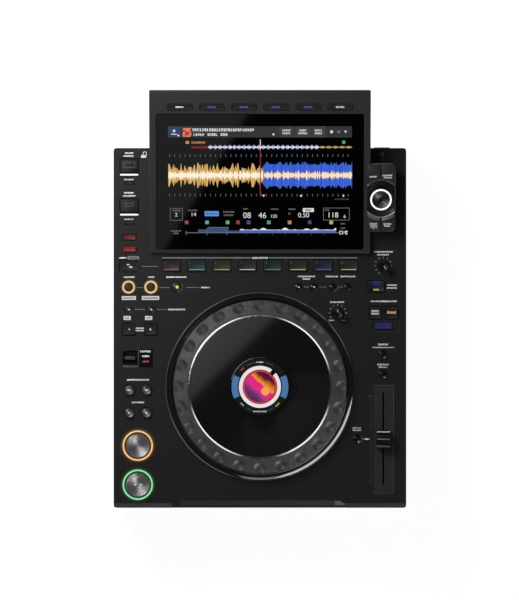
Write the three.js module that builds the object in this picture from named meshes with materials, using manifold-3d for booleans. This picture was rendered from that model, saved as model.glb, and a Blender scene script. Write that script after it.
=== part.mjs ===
// Tabletop media player for DJs: a flat case with a jog wheel, a tilted touch display, and the keys,
// knobs, slider and lever that work it. Millimetres, +X right, +Y to the rear, +Z up.
// The origin is the centre of the bounding box on the table.
import * as THREE from "three";
import { mergeVertices } from "three/addons/utils/BufferGeometryUtils.js";
import Module from "manifold-3d";

const wasm = await Module();
wasm.setup();

// Clearances and cutting
const slideGap = 0.3;
const seatGap = 0.3;
const cutOverrun = 2;
const smallRoundSides = 16;
const mediumRoundSides = 24;
const jogSides = 64;

// Case, from the table up
const footHeight = 8;
const footRadius = 16;
const footInset = 34;
const footEdge = 1.5;
const lowerCaseHeight = 34;
const upperCaseHeight = 33.7;
const caseCornerRadius = 3.4;
const caseEdge = 1.2;
const sideBandWidth = 59.4;

// Jog wheel and its surround
const jogBezelRadius = 105.1;
const jogBezelWidth = 5.4;
const jogBezelRise = 2.2;
const jogBezelEdge = 0.8;
const jogRunningGap = 0.5;
const jogRimWidth = 15.8;
const jogRimRise = 12;
const jogRimSink = 5;
const jogRimRound = 2.6;
const jogRimCrown = 0.5;
const jogBevelWidth = 2.4;
const jogPlateDrop = 2.2;
const jogDimpleCount = 24;
const jogDimpleWidth = 15.5;
const jogDimpleReach = 12.9;
const jogDimpleDepth = 1.5;
const jogWindowRadius = 32.4;
const jogWindowThickness = 3;
const jogWindowEdge = 0.4;
const jogPostRadius = 20;

// Chain of depths from the front edge to the rear
const jogFrontMargin = 31.2;
const padGap = 24.6;
const displayGap = 7.9;
const displayOverhang = 63.7;

// Front lip
const lipDepth = 5.6;
const lipDrop = 4.2;
const lipScoopDepth = 9;
const lipScoopHalfWidth = 88;
const lipScoopRunOut = 12;

// Display housing
const displaySideMargin = 40.65;
const displayFrontRise = 4.5;
const displayRearRise = 42;
const displayRearThickness = 20;
const displayEdge = 1.4;
const displayCorner = 3;
const displayNeckInset = 2;
const glassSideMargin = 7.8;
const glassFrontMargin = 4.4;
const glassThickness = 2;
const glassCorner = 1.2;
const glassEdge = 0.4;
const glassTopStep = 7.9;
const displayKeyRearMargin = 16;
const displayKeyCount = 6;
const displayKeyRowInset = 34.225;

// Selector pod beside the display
const podWidth = 33;
const podLength = 77.6;
const podCorner = 7;
const podEdge = 1;
const podRise = 1.4;
const podCapThickness = 6;
const podPedestalInset = 1.5;
const podRearMargin = 18.5;
const podSideMargin = 12.6;
const podRim = 1.1;
const podKeyRise = 1;
const dishRadius = 21.4;
const dishRise = 1.6;
const dishDepth = 1.6;
const selectorRadius = 12;
const selectorRingWidth = 1.9;
const selectorRise = 9;
const selectorEdge = 0.7;
const selectorDish = 0.8;
const selectorShaftRadius = 3;
const selectorShaftSink = 5;
const selectorShaftReach = 5;

// Keys
const keySkirt = 3;
const keyTravel = 1;
const mainKeyTravel = 1.5;
const keyFloorGap = 0.4;
const keyCorner = 1.1;
const keyEdge = 0.4;

const padKey = { width: 19.8, depth: 12.4, rise: 1.4 };
const padKeyCount = 8;
const padKeyPitch = 28.5;
const displayKey = { width: 28, depth: 7.1, rise: 0.7 };
const mainKey = { radius: 17.1, rise: 2, ringWidth: 1.9, grooveWidth: 2, grooveDepth: 1.2, capRise: 2.6, dish: 0.5 };
const mainKeyMargin = 9.1;
const mainKeyGap = 9.7;
const leftColumnInset = 27.2;

const searchKey = { radius: 6.3, rise: 3, dome: 1.4 };
const searchGap = 13.4;
const searchRowGap = 13.1;
const searchPairGap = 6.6;

const loopKey = { radius: 7.3, rise: 2.4, ringWidth: 2.2, grooveWidth: 0.5, grooveDepth: 0.6, capRise: 2.2, dish: 0.5 };
const loopRowGap = 10.4;
const loopColumnShift = 2.2;
const loopPairPitch = 25;
const reloopKey = { radius: 5.8, rise: 2.4, dome: 0.9 };
const reloopReach = 41.1;
const beatLoopKey = { radius: 5, rise: 2.4, dome: 0.9 };
const beatLoopGap = 13;
const beatJumpKey = { width: 13.9, depth: 12.5, rise: 1.4 };
const beatJumpGap = 11;
const callKey = { width: 21.4, depth: 12.4, rise: 1.4 };
const modeKey = { width: 14.5, depth: 5.8, rise: 1.2 };
const quantizeGap = 9.65;
const modeKeyGap = 7.65;
const modeClusterGap = 11.3;

const memoryKey = { radius: 4.2, rise: 1.8, dome: 0.7 };
const cueCallX = 43.7;
const cueCallPitch = 17.2;
const deleteX = 82.4;
const memoryPitch = 16.2;

const roundKey = { radius: 4.8, rise: 1.8, dome: 0.7 };
const masterTempoGap = 7.5;
const tempoRangeGap = 12.9;
const tempoResetReach = 29.3;

const jogModeKey = { width: 18, depth: 12.2, rise: 1.4 };
const jogModeGap = 10.9;
const jogModeShift = 8.1;
const syncKey = { width: 13.6, depth: 13.8, rise: 1.4 };
const syncRowGap = 16.5;
const syncPairPitch = 18.5;
const keySyncFrontGap = 23.7;
const keySyncKey = { width: 19.2, depth: 7.3, rise: 1.2 };
const keySyncGap = 4;

// Small knobs
const knob = { radius: 6.2, topRadius: 5.2, rise: 9.5, edge: 0.6, spindleRadius: 2.6, spindleSink: 5 };
const knobPointerWidth = 1;
const knobPointerDepth = 0.5;
const jogFeelX = 87.4;
const jogFeelRowDrop = 29.2;

// Tempo slider
const rightColumnInset = 25.9;
const faderPlateWidth = 20.8;
const faderPlateLength = 120.9;
const faderPlateMargin = 17.1;
const faderPlateSink = 0.5;
const faderSlotWidth = 1.7;
const faderSlotEndGap = 0.6;
const faderSlotDepth = 7;
const faderTravel = 48;
const faderCapWidth = 17;
const faderCapLength = 19.3;
const faderCapHeight = 9.5;
const faderCapFoot = 2.6;
const faderCapWaist = 4.4;
const faderCapWaistHeight = 6.2;
const faderCapRidge = 2.8;
const faderCapEdge = 0.7;
const faderStemLength = 5;
const faderStemDepth = 5;

// Direction lever
const leverWellWidth = 16.3;
const leverWellLength = 16.1;
const leverWellGap = 17.8;
const leverFrontGap = 21.7;
const leverInset = 18.65;
const leverPivotDepth = 6;
const leverHubRadius = 3;
const leverBladeWidth = 12.4;
const leverRootThickness = 2.8;
const leverTipThickness = 4;
const leverRise = 6.5;

// Lidded ports at the rear left
const portColumnInset = 17.6;
const lidWidth = 20.5;
const lidDepth = 15.4;
const lidThickness = 1.6;
const lidRearMargin = 12.4;
const lidLedge = 1.2;
const portWellDepth = 7;
const fingerNotchWidth = 9;
const fingerNotchReach = 1.3;
const fingerNotchDepth = 1.4;
const portA = { width: 12.5, height: 5.1, depth: 12, corner: 0.4 };
const portC = { width: 8.9, height: 3.2, depth: 8, corner: 1.4 };
const stopBar = { width: 9.4, depth: 3.5, rise: 0.8 };
const stopBarGap = 9.9;
const portGroupGap = 16;

// Power key in the rear face
const powerKey = { width: 18, height: 9, proud: 1.2 };
const powerKeyInset = 27.5;
const powerKeyDrop = 6;

// Sockets in the rear face of the lower case, each with its place along X
const socketFlange = 1.2;
const socketFlangeRim = 2.6;
const socketCorner = 0.8;
const inlet = { x: 92, width: 24.4, height: 16.6, depth: 16 };
const inletPin = { width: 2, height: 4, length: 12, spread: 7, offset: 2 };
const networkSocket = { x: 44, width: 11.7, height: 8, depth: 12 };
const hostSocket = { x: 14, width: 8.5, height: 7.8, depth: 10 };
const phono = { radius: 4.15, boreRadius: 1.7, length: 9, boreDepth: 8, nutRadius: 6, nutLength: 1.2 };
const phonoPlaces = [-34, -66, -84];
const lockSlot = { x: -104, width: 7, height: 3, depth: 5 };

// Vent slots in the underside
const ventCount = 12;
const ventPitch = 7;
const ventWidth = 2.4;
const ventLength = 46;
const ventDepth = 3;

// Places worked out from the sizes above
const caseHalfWidth = jogBezelRadius + sideBandWidth;
const padRowDepth = padKey.depth;
const portGroupDepth = lidDepth + stopBarGap + stopBar.depth;
const modeClusterDepth = 2 * modeKey.depth + modeKeyGap + quantizeGap;
const portColumnDepth = lidRearMargin + 2 * portGroupDepth + portGroupGap + modeClusterGap + modeClusterDepth;
const displaySeatDepth = portColumnDepth - displayGap;
const displayPlanDepth = displaySeatDepth + displayOverhang;
const caseDepth = jogFrontMargin + 2 * jogBezelRadius + padGap + padRowDepth + displayGap + displaySeatDepth;
const overallDepth = caseDepth + displayOverhang;
const frontY = -overallDepth / 2;
const rearY = frontY + caseDepth;
const deckZ = footHeight + lowerCaseHeight + seatGap + upperCaseHeight;
const seamZ = footHeight + lowerCaseHeight + seatGap;
const jogY = frontY + jogFrontMargin + jogBezelRadius;
const padRowY = jogY + jogBezelRadius + padGap + padRowDepth / 2;
const displayFrontY = padRowY + padRowDepth / 2 + displayGap;
const displayRearY = displayFrontY + displayPlanDepth;
const displayFrontZ = deckZ + displayFrontRise;
const displayTilt = Math.atan2(displayRearRise - displayFrontRise, displayPlanDepth);
const jogRimRadius = jogBezelRadius - jogBezelWidth - jogRunningGap;
const jogWellRadius = jogRimRadius + jogRunningGap;
const jogWellDepth = jogRimSink + seatGap;
const jogPlateRadius = jogRimRadius - jogRimWidth - jogBevelWidth;
const jogPlateRise = jogRimRise - jogPlateDrop;
const leftColumnX = -caseHalfWidth + leftColumnInset;
const loopColumnX = leftColumnX + loopColumnShift;
const reloopX = loopColumnX + reloopReach;
const portColumnX = -caseHalfWidth + portColumnInset;
const leverX = -caseHalfWidth + leverInset;
const rightColumnX = caseHalfWidth - rightColumnInset;
const displayWidth = 2 * (caseHalfWidth - displaySideMargin);
const glassWidth = displayWidth - 2 * glassSideMargin;
const displayKeyPitch = (displayWidth - 2 * displayKeyRowInset) / (displayKeyCount - 1);

const playY = frontY + mainKeyMargin + mainKey.radius;
const cueY = playY + 2 * mainKey.radius + mainKeyGap;

// The rows beside the jog share out the length that their keys leave free
const padRowFrontY = padRowY - padRowDepth / 2;
const cueRearY = cueY + mainKey.radius;
const leftKeysDepth = 4 * searchKey.radius + leverWellLength + beatJumpKey.depth + 2 * beatLoopKey.radius
  + 2 * loopKey.radius;
const leftGaps = searchGap + searchRowGap + leverFrontGap + leverWellGap + beatJumpGap + beatLoopGap + loopRowGap;
const leftShare = (padRowFrontY - cueRearY - leftKeysDepth) / leftGaps;
const searchY = cueRearY + leftShare * searchGap + searchKey.radius;
const trackSearchY = searchY + 2 * searchKey.radius + leftShare * searchRowGap;
const searchHalfPitch = searchKey.radius + searchPairGap / 2;
const loopRowY = padRowFrontY - leftShare * loopRowGap - loopKey.radius;
const beatLoopY = loopRowY - loopKey.radius - leftShare * beatLoopGap - beatLoopKey.radius;
const beatJumpY = beatLoopY - beatLoopKey.radius - leftShare * beatJumpGap - beatJumpKey.depth / 2;
const leverY = beatJumpY - beatJumpKey.depth / 2 - leftShare * leverWellGap - leverWellLength / 2;
const firstLidY = rearY - lidRearMargin - lidDepth / 2;
const firstStopY = firstLidY - lidDepth / 2 - stopBarGap - stopBar.depth / 2;
const secondLidY = firstStopY - stopBar.depth / 2 - portGroupGap - lidDepth / 2;
const secondStopY = secondLidY - lidDepth / 2 - stopBarGap - stopBar.depth / 2;
const timeModeY = secondStopY - stopBar.depth / 2 - modeClusterGap - modeKey.depth / 2;
const quantizeY = timeModeY - modeKey.depth - modeKeyGap;
const faderSlotLength = 2 * faderTravel + faderStemLength + 2 * faderSlotEndGap;
const faderY = frontY + faderPlateMargin + faderPlateLength / 2;
const faderRearY = faderY + faderPlateLength / 2;
const rightKeysDepth = knob.radius - padRowDepth / 2 + jogModeKey.depth + syncKey.depth + keySyncKey.depth
  + 4 * roundKey.radius;
const rightGaps = jogModeGap + syncRowGap + keySyncGap + keySyncFrontGap + tempoRangeGap + masterTempoGap;
const rightShare = (padRowFrontY - faderRearY - rightKeysDepth) / rightGaps;
const masterTempoY = faderRearY + rightShare * masterTempoGap + roundKey.radius;
const tempoRangeY = masterTempoY + 2 * roundKey.radius + rightShare * tempoRangeGap;
const jogModeY = padRowY - knob.radius - rightShare * jogModeGap - jogModeKey.depth / 2;
const syncRowY = jogModeY - jogModeKey.depth / 2 - rightShare * syncRowGap - syncKey.depth / 2;
const keySyncY = syncRowY - syncKey.depth / 2 - rightShare * keySyncGap - keySyncKey.depth / 2;
const jogFeelY = loopRowY - jogFeelRowDrop;
const podX = caseHalfWidth - podSideMargin - podWidth / 2;
const slopeCos = Math.cos(displayTilt);
const podCentreUp = (rearY - podRearMargin - displayFrontY) / slopeCos - podLength / 2;
const displayKeyUp = displayPlanDepth / slopeCos - displayKeyRearMargin - displayKey.depth / 2;
const glassLength = displayKeyUp - glassTopStep - glassFrontMargin;

// Finishes
const darkPlastic = () => new THREE.MeshStandardMaterial({ color: 0x2a2a2c, roughness: 0.55, metalness: 0 });
const housingPlastic = () => new THREE.MeshStandardMaterial({ color: 0x313133, roughness: 0.5, metalness: 0 });
const keyPlastic = () => new THREE.MeshStandardMaterial({ color: 0x1b1b1d, roughness: 0.6, metalness: 0 });
const glossPlastic = () => new THREE.MeshStandardMaterial({ color: 0x050506, roughness: 0.12, metalness: 0 });
const blackGlass = () => new THREE.MeshStandardMaterial({ color: 0x030304, roughness: 0.06, metalness: 0 });
const spunMetal = () => new THREE.MeshStandardMaterial({ color: 0x77787b, roughness: 0.32, metalness: 1 });
const rimPlastic = () => new THREE.MeshStandardMaterial({ color: 0x3a3b3d, roughness: 0.45, metalness: 0.2 });

// A geometry as a solid, with its shared corners merged
function solidOf(geometry) {
  const plain = geometry.index ? geometry.toNonIndexed() : geometry.clone();
  plain.deleteAttribute("normal");
  plain.deleteAttribute("uv");
  const merged = mergeVertices(plain, 1e-4);
  const mesh = new wasm.Mesh({
    numProp: 3,
    vertProperties: new Float32Array(merged.attributes.position.array),
    triVerts: new Uint32Array(merged.index.array),
  });
  return new wasm.Manifold(mesh);
}

function geometryOf(solid) {
  const mesh = solid.getMesh();
  const geometry = new THREE.BufferGeometry();
  geometry.setAttribute("position", new THREE.BufferAttribute(new Float32Array(mesh.vertProperties), 3));
  geometry.setIndex(new THREE.BufferAttribute(new Uint32Array(mesh.triVerts), 1));
  geometry.computeVertexNormals();
  return geometry;
}

function cutAll(solid, cutters) {
  return cutters.reduce((rest, cutter) => rest.subtract(solidOf(cutter)), solid);
}

function joinAll(solid, additions) {
  return additions.reduce((whole, addition) => whole.add(solidOf(addition)), solid);
}

// A rectangle with round corners, centred on the origin
function roundedRect(width, depth, radius) {
  const x = width / 2;
  const y = depth / 2;
  const outline = new THREE.Shape();
  outline.moveTo(radius - x, -y);
  outline.lineTo(x - radius, -y);
  outline.quadraticCurveTo(x, -y, x, radius - y);
  outline.lineTo(x, y - radius);
  outline.quadraticCurveTo(x, y, x - radius, y);
  outline.lineTo(radius - x, y);
  outline.quadraticCurveTo(-x, y, -x, y - radius);
  outline.lineTo(-x, radius - y);
  outline.quadraticCurveTo(-x, -y, radius - x, -y);
  return outline;
}

// An outline raised from z = 0 with an equal bevel at both ends
function bevelledSlab(outline, height, edge, steps = 1, arcSteps = 1) {
  const slab = new THREE.ExtrudeGeometry(outline, {
    depth: height - 2 * edge,
    bevelThickness: edge,
    bevelSize: edge,
    bevelOffset: -edge,
    bevelSegments: steps,
    curveSegments: arcSteps,
  });
  return slab.translate(0, 0, edge);
}

// An outline raised from z = low to z = high with square edges
function prism(outline, low, high, arcSteps = 1) {
  const body = new THREE.ExtrudeGeometry(outline, {
    depth: high - low,
    bevelEnabled: false,
    curveSegments: arcSteps,
  });
  return body.translate(0, 0, low);
}

// A profile of [radius, height] points turned about +Z
function turned(profile, sides) {
  const points = profile.map(([radius, height]) => new THREE.Vector2(radius, height));
  return new THREE.LatheGeometry(points, sides).rotateX(Math.PI / 2);
}

function shapeOf(points) {
  return new THREE.Shape(points.map(([across, up]) => new THREE.Vector2(across, up)));
}

// An outline drawn in Y and Z, run along X and centred on x = 0
function runAcross(outline, width, edge = 0, arcSteps = 1) {
  const bar = new THREE.ExtrudeGeometry(outline, {
    depth: width - 2 * edge,
    bevelEnabled: edge > 0,
    bevelThickness: edge,
    bevelSize: edge,
    bevelOffset: -edge,
    bevelSegments: 2,
    curveSegments: arcSteps,
  });
  bar.translate(0, 0, edge - width / 2);
  return bar.applyMatrix4(new THREE.Matrix4().makeBasis(
    new THREE.Vector3(0, 1, 0),
    new THREE.Vector3(0, 0, 1),
    new THREE.Vector3(1, 0, 0),
  ));
}

// The display's own frame: its origin is the housing's front top edge, +Y runs up the slope
const slope = new THREE.Group();
slope.position.set(0, displayFrontY, displayFrontZ);
slope.rotation.x = displayTilt;
slope.updateMatrixWorld(true);
const onSlope = (geometry) => geometry.applyMatrix4(slope.matrixWorld);

const player = new THREE.Group();

function addPiece(name, geometry, material, x, y, z, parent = player) {
  const mesh = new THREE.Mesh(geometry, material);
  mesh.name = name;
  mesh.position.set(x, y, z);
  parent.add(mesh);
  return mesh;
}

// Keys. Each stands in a well of its own, with its skirt below the surface that it comes out of
const wellDepth = (travel) => keySkirt + travel + keyFloorGap;

function rectKeyBody(key) {
  return bevelledSlab(roundedRect(key.width, key.depth, keyCorner), key.rise + keySkirt, keyEdge)
    .translate(0, 0, -keySkirt);
}

function rectKeyWell(key, travel = keyTravel) {
  const outline = roundedRect(key.width + 2 * slideGap, key.depth + 2 * slideGap, keyCorner + slideGap);
  return prism(outline, -wellDepth(travel), cutOverrun);
}

function domedKeyBody(key) {
  const bulge = key.dome * Math.SQRT1_2;
  return turned([
    [0, -keySkirt],
    [key.radius, -keySkirt],
    [key.radius, key.rise - key.dome],
    [key.radius - key.dome + bulge, key.rise - key.dome + bulge],
    [key.radius / 2, key.rise],
    [0, key.rise],
  ], smallRoundSides);
}

// A key with a raised ring round a cap, and a groove between them
function ringKeyBody(key, sides) {
  const ringInner = key.radius - key.ringWidth;
  const capRadius = ringInner - key.grooveWidth;
  const grooveFloor = key.rise - key.grooveDepth;
  return turned([
    [0, -keySkirt],
    [key.radius, -keySkirt],
    [key.radius, key.rise - keyEdge],
    [key.radius - keyEdge, key.rise],
    [ringInner, key.rise],
    [ringInner, grooveFloor],
    [capRadius, grooveFloor],
    [capRadius, key.capRise - keyEdge],
    [capRadius - keyEdge, key.capRise],
    [0, key.capRise - key.dish],
  ], sides);
}

function roundKeyWell(key, sides, travel = keyTravel) {
  const radius = key.radius + slideGap;
  return turned([
    [0, -wellDepth(travel)],
    [radius, -wellDepth(travel)],
    [radius, cutOverrun],
    [0, cutOverrun],
  ], sides);
}

const deckRectKeys = [
  { name: "call_key", key: callKey, x: portColumnX, y: padRowY },
  { name: "time_mode_key", key: modeKey, x: portColumnX, y: timeModeY },
  { name: "quantize_key", key: modeKey, x: portColumnX, y: quantizeY },
  { name: "beat_jump_back_key", key: beatJumpKey, x: loopColumnX - loopPairPitch / 2, y: beatJumpY },
  { name: "beat_jump_forward_key", key: beatJumpKey, x: loopColumnX + loopPairPitch / 2, y: beatJumpY },
  { name: "jog_mode_key", key: jogModeKey, x: rightColumnX - jogModeShift, y: jogModeY },
  { name: "beat_sync_key", key: syncKey, x: rightColumnX - syncPairPitch / 2, y: syncRowY },
  { name: "master_key", key: syncKey, x: rightColumnX + syncPairPitch / 2, y: syncRowY },
  { name: "key_sync_key", key: keySyncKey, x: rightColumnX, y: keySyncY },
];
for (let i = 0; i < padKeyCount; i += 1) {
  const x = (i - (padKeyCount - 1) / 2) * padKeyPitch;
  deckRectKeys.push({ name: `hot_cue_key_${i + 1}`, key: padKey, x, y: padRowY });
}

const deckDomedKeys = [
  { name: "track_search_back_key", key: searchKey, x: leftColumnX - searchHalfPitch, y: trackSearchY },
  { name: "track_search_forward_key", key: searchKey, x: leftColumnX + searchHalfPitch, y: trackSearchY },
  { name: "search_back_key", key: searchKey, x: leftColumnX - searchHalfPitch, y: searchY },
  { name: "search_forward_key", key: searchKey, x: leftColumnX + searchHalfPitch, y: searchY },
  { name: "beat_loop_back_key", key: beatLoopKey, x: loopColumnX - loopPairPitch / 2, y: beatLoopY },
  { name: "beat_loop_forward_key", key: beatLoopKey, x: loopColumnX + loopPairPitch / 2, y: beatLoopY },
  { name: "reloop_key", key: reloopKey, x: reloopX, y: loopRowY },
  { name: "cue_call_back_key", key: memoryKey, x: cueCallX, y: loopRowY },
  { name: "cue_call_forward_key", key: memoryKey, x: cueCallX + cueCallPitch, y: loopRowY },
  { name: "delete_key", key: memoryKey, x: deleteX, y: loopRowY },
  { name: "memory_key", key: memoryKey, x: deleteX + memoryPitch, y: loopRowY },
  { name: "master_tempo_key", key: roundKey, x: rightColumnX, y: masterTempoY },
  { name: "tempo_range_key", key: roundKey, x: rightColumnX, y: tempoRangeY },
  { name: "tempo_reset_key", key: roundKey, x: rightColumnX - tempoResetReach, y: faderY },
];

const deckRingKeys = [
  { name: "play_key", key: mainKey, x: leftColumnX, y: playY, travel: mainKeyTravel, sides: mediumRoundSides },
  { name: "cue_key", key: mainKey, x: leftColumnX, y: cueY, travel: mainKeyTravel, sides: mediumRoundSides },
  { name: "loop_in_key", key: loopKey, x: loopColumnX - loopPairPitch / 2, y: loopRowY, travel: keyTravel,
    sides: smallRoundSides },
  { name: "loop_out_key", key: loopKey, x: loopColumnX + loopPairPitch / 2, y: loopRowY, travel: keyTravel,
    sides: smallRoundSides },
];

function addDeckKeys() {
  for (const { name, key, x, y } of deckRectKeys) {
    addPiece(name, rectKeyBody(key), keyPlastic(), x, y, deckZ);
  }
  for (const { name, key, x, y } of deckDomedKeys) {
    addPiece(name, domedKeyBody(key), keyPlastic(), x, y, deckZ);
  }
  for (const { name, key, x, y, sides } of deckRingKeys) {
    addPiece(name, ringKeyBody(key, sides), spunMetal(), x, y, deckZ);
  }
}

function deckKeyWells() {
  return [
    ...deckRectKeys.map(({ key, x, y }) => rectKeyWell(key).translate(x, y, deckZ)),
    ...deckDomedKeys.map(({ key, x, y }) => roundKeyWell(key, smallRoundSides).translate(x, y, deckZ)),
    ...deckRingKeys.map(({ key, x, y, travel, sides }) => roundKeyWell(key, sides, travel).translate(x, y, deckZ)),
  ];
}

// Jog wheel: a crowned rim with finger dimples, a bevel down to the plate, and a bore for the fixed post
function jogProfile() {
  const bevelFoot = [jogPlateRadius, jogPlateRise];
  const bevelHead = [jogRimRadius - jogRimWidth, jogRimRise - jogRimCrown];
  const windowRadius = jogWindowRadius + slideGap;
  const ledge = jogPlateRise - jogWindowThickness - seatGap;
  const boreRadius = jogPostRadius + slideGap;
  const profile = [
    [boreRadius, -jogRimSink],
    [jogRimRadius, -jogRimSink],
    [jogRimRadius, jogRimRise - jogRimCrown - jogRimRound],
  ];
  for (const angle of [Math.PI / 4, Math.PI / 2]) {
    profile.push([
      jogRimRadius - jogRimRound * (1 - Math.cos(angle)),
      jogRimRise - jogRimCrown - jogRimRound * (1 - Math.sin(angle)),
    ]);
  }
  profile.push(
    [jogRimRadius - jogRimWidth / 2, jogRimRise],
    bevelHead,
    bevelFoot,
    [windowRadius, jogPlateRise],
    [windowRadius, ledge],
    [boreRadius, ledge],
    [boreRadius, -jogRimSink],
  );
  return profile;
}

function jogDimple(index) {
  const angle = index * 2 * Math.PI / jogDimpleCount;
  return new THREE.SphereGeometry(1, 10, 4)
    .rotateX(Math.PI / 2)
    .scale(jogDimpleReach / 2, jogDimpleWidth / 2, jogDimpleDepth)
    .translate(jogRimRadius - jogRimWidth / 2, 0, jogRimRise)
    .rotateZ(angle);
}

function addJog() {
  const dimples = Array.from({ length: jogDimpleCount }, (unused, index) => jogDimple(index));
  const wheel = cutAll(solidOf(turned(jogProfile(), jogSides)), dimples);
  addPiece("jog_wheel", geometryOf(wheel), rimPlastic(), 0, jogY, deckZ);
  const display = turned([
    [0, -jogRimSink],
    [jogPostRadius, -jogRimSink],
    [jogPostRadius, jogPlateRise - jogWindowThickness],
    [jogWindowRadius, jogPlateRise - jogWindowThickness],
    [jogWindowRadius, jogPlateRise - jogWindowEdge],
    [jogWindowRadius - jogWindowEdge, jogPlateRise],
    [0, jogPlateRise],
  ], mediumRoundSides);
  addPiece("jog_display", display, blackGlass(), 0, jogY, deckZ);
}

// Upper case
function lipCut(depth, halfWidth, runOut) {
  const grade = lipDrop / lipDepth;
  const slant = runAcross(shapeOf([
    [-cutOverrun, -(depth + cutOverrun) * grade],
    [depth + cutOverrun, cutOverrun * grade],
    [-cutOverrun, cutOverrun * grade],
  ]), 2 * (halfWidth + runOut));
  const plan = prism(shapeOf([
    [-halfWidth - runOut, -cutOverrun],
    [halfWidth + runOut, -cutOverrun],
    [halfWidth, depth + cutOverrun],
    [-halfWidth, depth + cutOverrun],
  ]), -upperCaseHeight, cutOverrun);
  return solidOf(slant).intersect(solidOf(plan)).translate(0, frontY, deckZ);
}

function jogBezel() {
  const inner = jogBezelRadius - jogBezelWidth;
  return turned([
    [inner, -jogWellDepth],
    [jogBezelRadius, -jogWellDepth],
    [jogBezelRadius, jogBezelRise - jogBezelEdge],
    [jogBezelRadius - jogBezelEdge, jogBezelRise],
    [inner + jogBezelEdge, jogBezelRise],
    [inner, jogBezelRise - jogBezelEdge],
    [inner, -jogWellDepth],
  ], jogSides).translate(0, jogY, deckZ);
}

function jogWell() {
  return turned([
    [0, -jogWellDepth],
    [jogWellRadius, -jogWellDepth],
    [jogWellRadius, cutOverrun],
    [0, cutOverrun],
  ], jogSides).translate(0, jogY, deckZ);
}

function faderCuts() {
  const plate = roundedRect(faderPlateWidth, faderPlateLength, keyCorner);
  const slot = roundedRect(faderSlotWidth, faderSlotLength, faderSlotWidth / 2 - slideGap / 2);
  return [
    prism(plate, -faderPlateSink, cutOverrun).translate(rightColumnX, faderY, deckZ),
    prism(slot, -faderSlotDepth, cutOverrun).translate(rightColumnX, faderY, deckZ),
  ];
}

function leverWell() {
  const depth = leverPivotDepth + leverHubRadius + seatGap;
  return prism(roundedRect(leverWellWidth, leverWellLength, keyCorner), -depth, cutOverrun)
    .translate(leverX, leverY, deckZ);
}

// A lid's seat, the well under it, the port at the bottom and the notch for a finger
function portCuts(port, lidY) {
  const seatDepth = lidThickness + seatGap;
  const wellFloor = seatDepth + portWellDepth;
  const well = roundedRect(lidWidth - 2 * lidLedge, lidDepth - 2 * lidLedge, keyCorner);
  const notch = roundedRect(fingerNotchWidth, 2 * fingerNotchReach, keyCorner);
  const socket = roundedRect(port.width, port.height, port.corner);
  return [
    prism(roundedRect(lidWidth, lidDepth, keyCorner / 2), -seatDepth, cutOverrun),
    prism(well, -wellFloor, cutOverrun),
    prism(socket, -wellFloor - port.depth, cutOverrun),
    prism(notch, -fingerNotchDepth, cutOverrun).translate(0, -lidDepth / 2, 0),
  ].map((cutter) => cutter.translate(portColumnX, lidY, deckZ));
}

function stopKeyBar(y) {
  const outline = roundedRect(stopBar.width, stopBar.depth, keyCorner);
  return bevelledSlab(outline, stopBar.rise + keySkirt, keyEdge).translate(portColumnX, y, deckZ - keySkirt);
}

function knobHole(x, y) {
  const radius = knob.spindleRadius + slideGap;
  const depth = knob.spindleSink + seatGap;
  return turned([[0, -depth], [radius, -depth], [radius, cutOverrun], [0, cutOverrun]], smallRoundSides)
    .translate(x, y, deckZ);
}

function powerKeyWell() {
  const outline = roundedRect(powerKey.width + 2 * slideGap, powerKey.height + 2 * slideGap, keyCorner + slideGap);
  return prism(outline, -wellDepth(keyTravel), cutOverrun)
    .rotateX(-Math.PI / 2)
    .translate(caseHalfWidth - powerKeyInset, rearY, deckZ - powerKeyDrop - powerKey.height / 2);
}

function addUpperCase() {
  const outline = roundedRect(2 * caseHalfWidth, caseDepth, caseCornerRadius);
  const slab = bevelledSlab(outline, upperCaseHeight, caseEdge, 2, 3);
  slab.translate(0, (frontY + rearY) / 2, seamZ);
  let upper = solidOf(slab).subtract(lipCut(lipDepth, caseHalfWidth, cutOverrun));
  upper = upper.subtract(lipCut(lipScoopDepth, lipScoopHalfWidth, lipScoopRunOut));
  upper = cutAll(upper, [jogWell()]);
  upper = joinAll(upper, [jogBezel(), stopKeyBar(firstStopY), stopKeyBar(secondStopY)]);
  upper = cutAll(upper, [
    ...deckKeyWells(),
    ...faderCuts(),
    leverWell(),
    ...portCuts(portA, firstLidY),
    ...portCuts(portC, secondLidY),
    knobHole(rightColumnX, padRowY),
    knobHole(jogFeelX, jogFeelY),
    powerKeyWell(),
  ]);
  addPiece("upper_case", geometryOf(upper), darkPlastic(), 0, 0, 0);
}

// Lower case with its feet, vents and rear sockets
function rearOutline(outline, near, far) {
  return prism(outline, near, far).rotateX(-Math.PI / 2);
}

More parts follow.
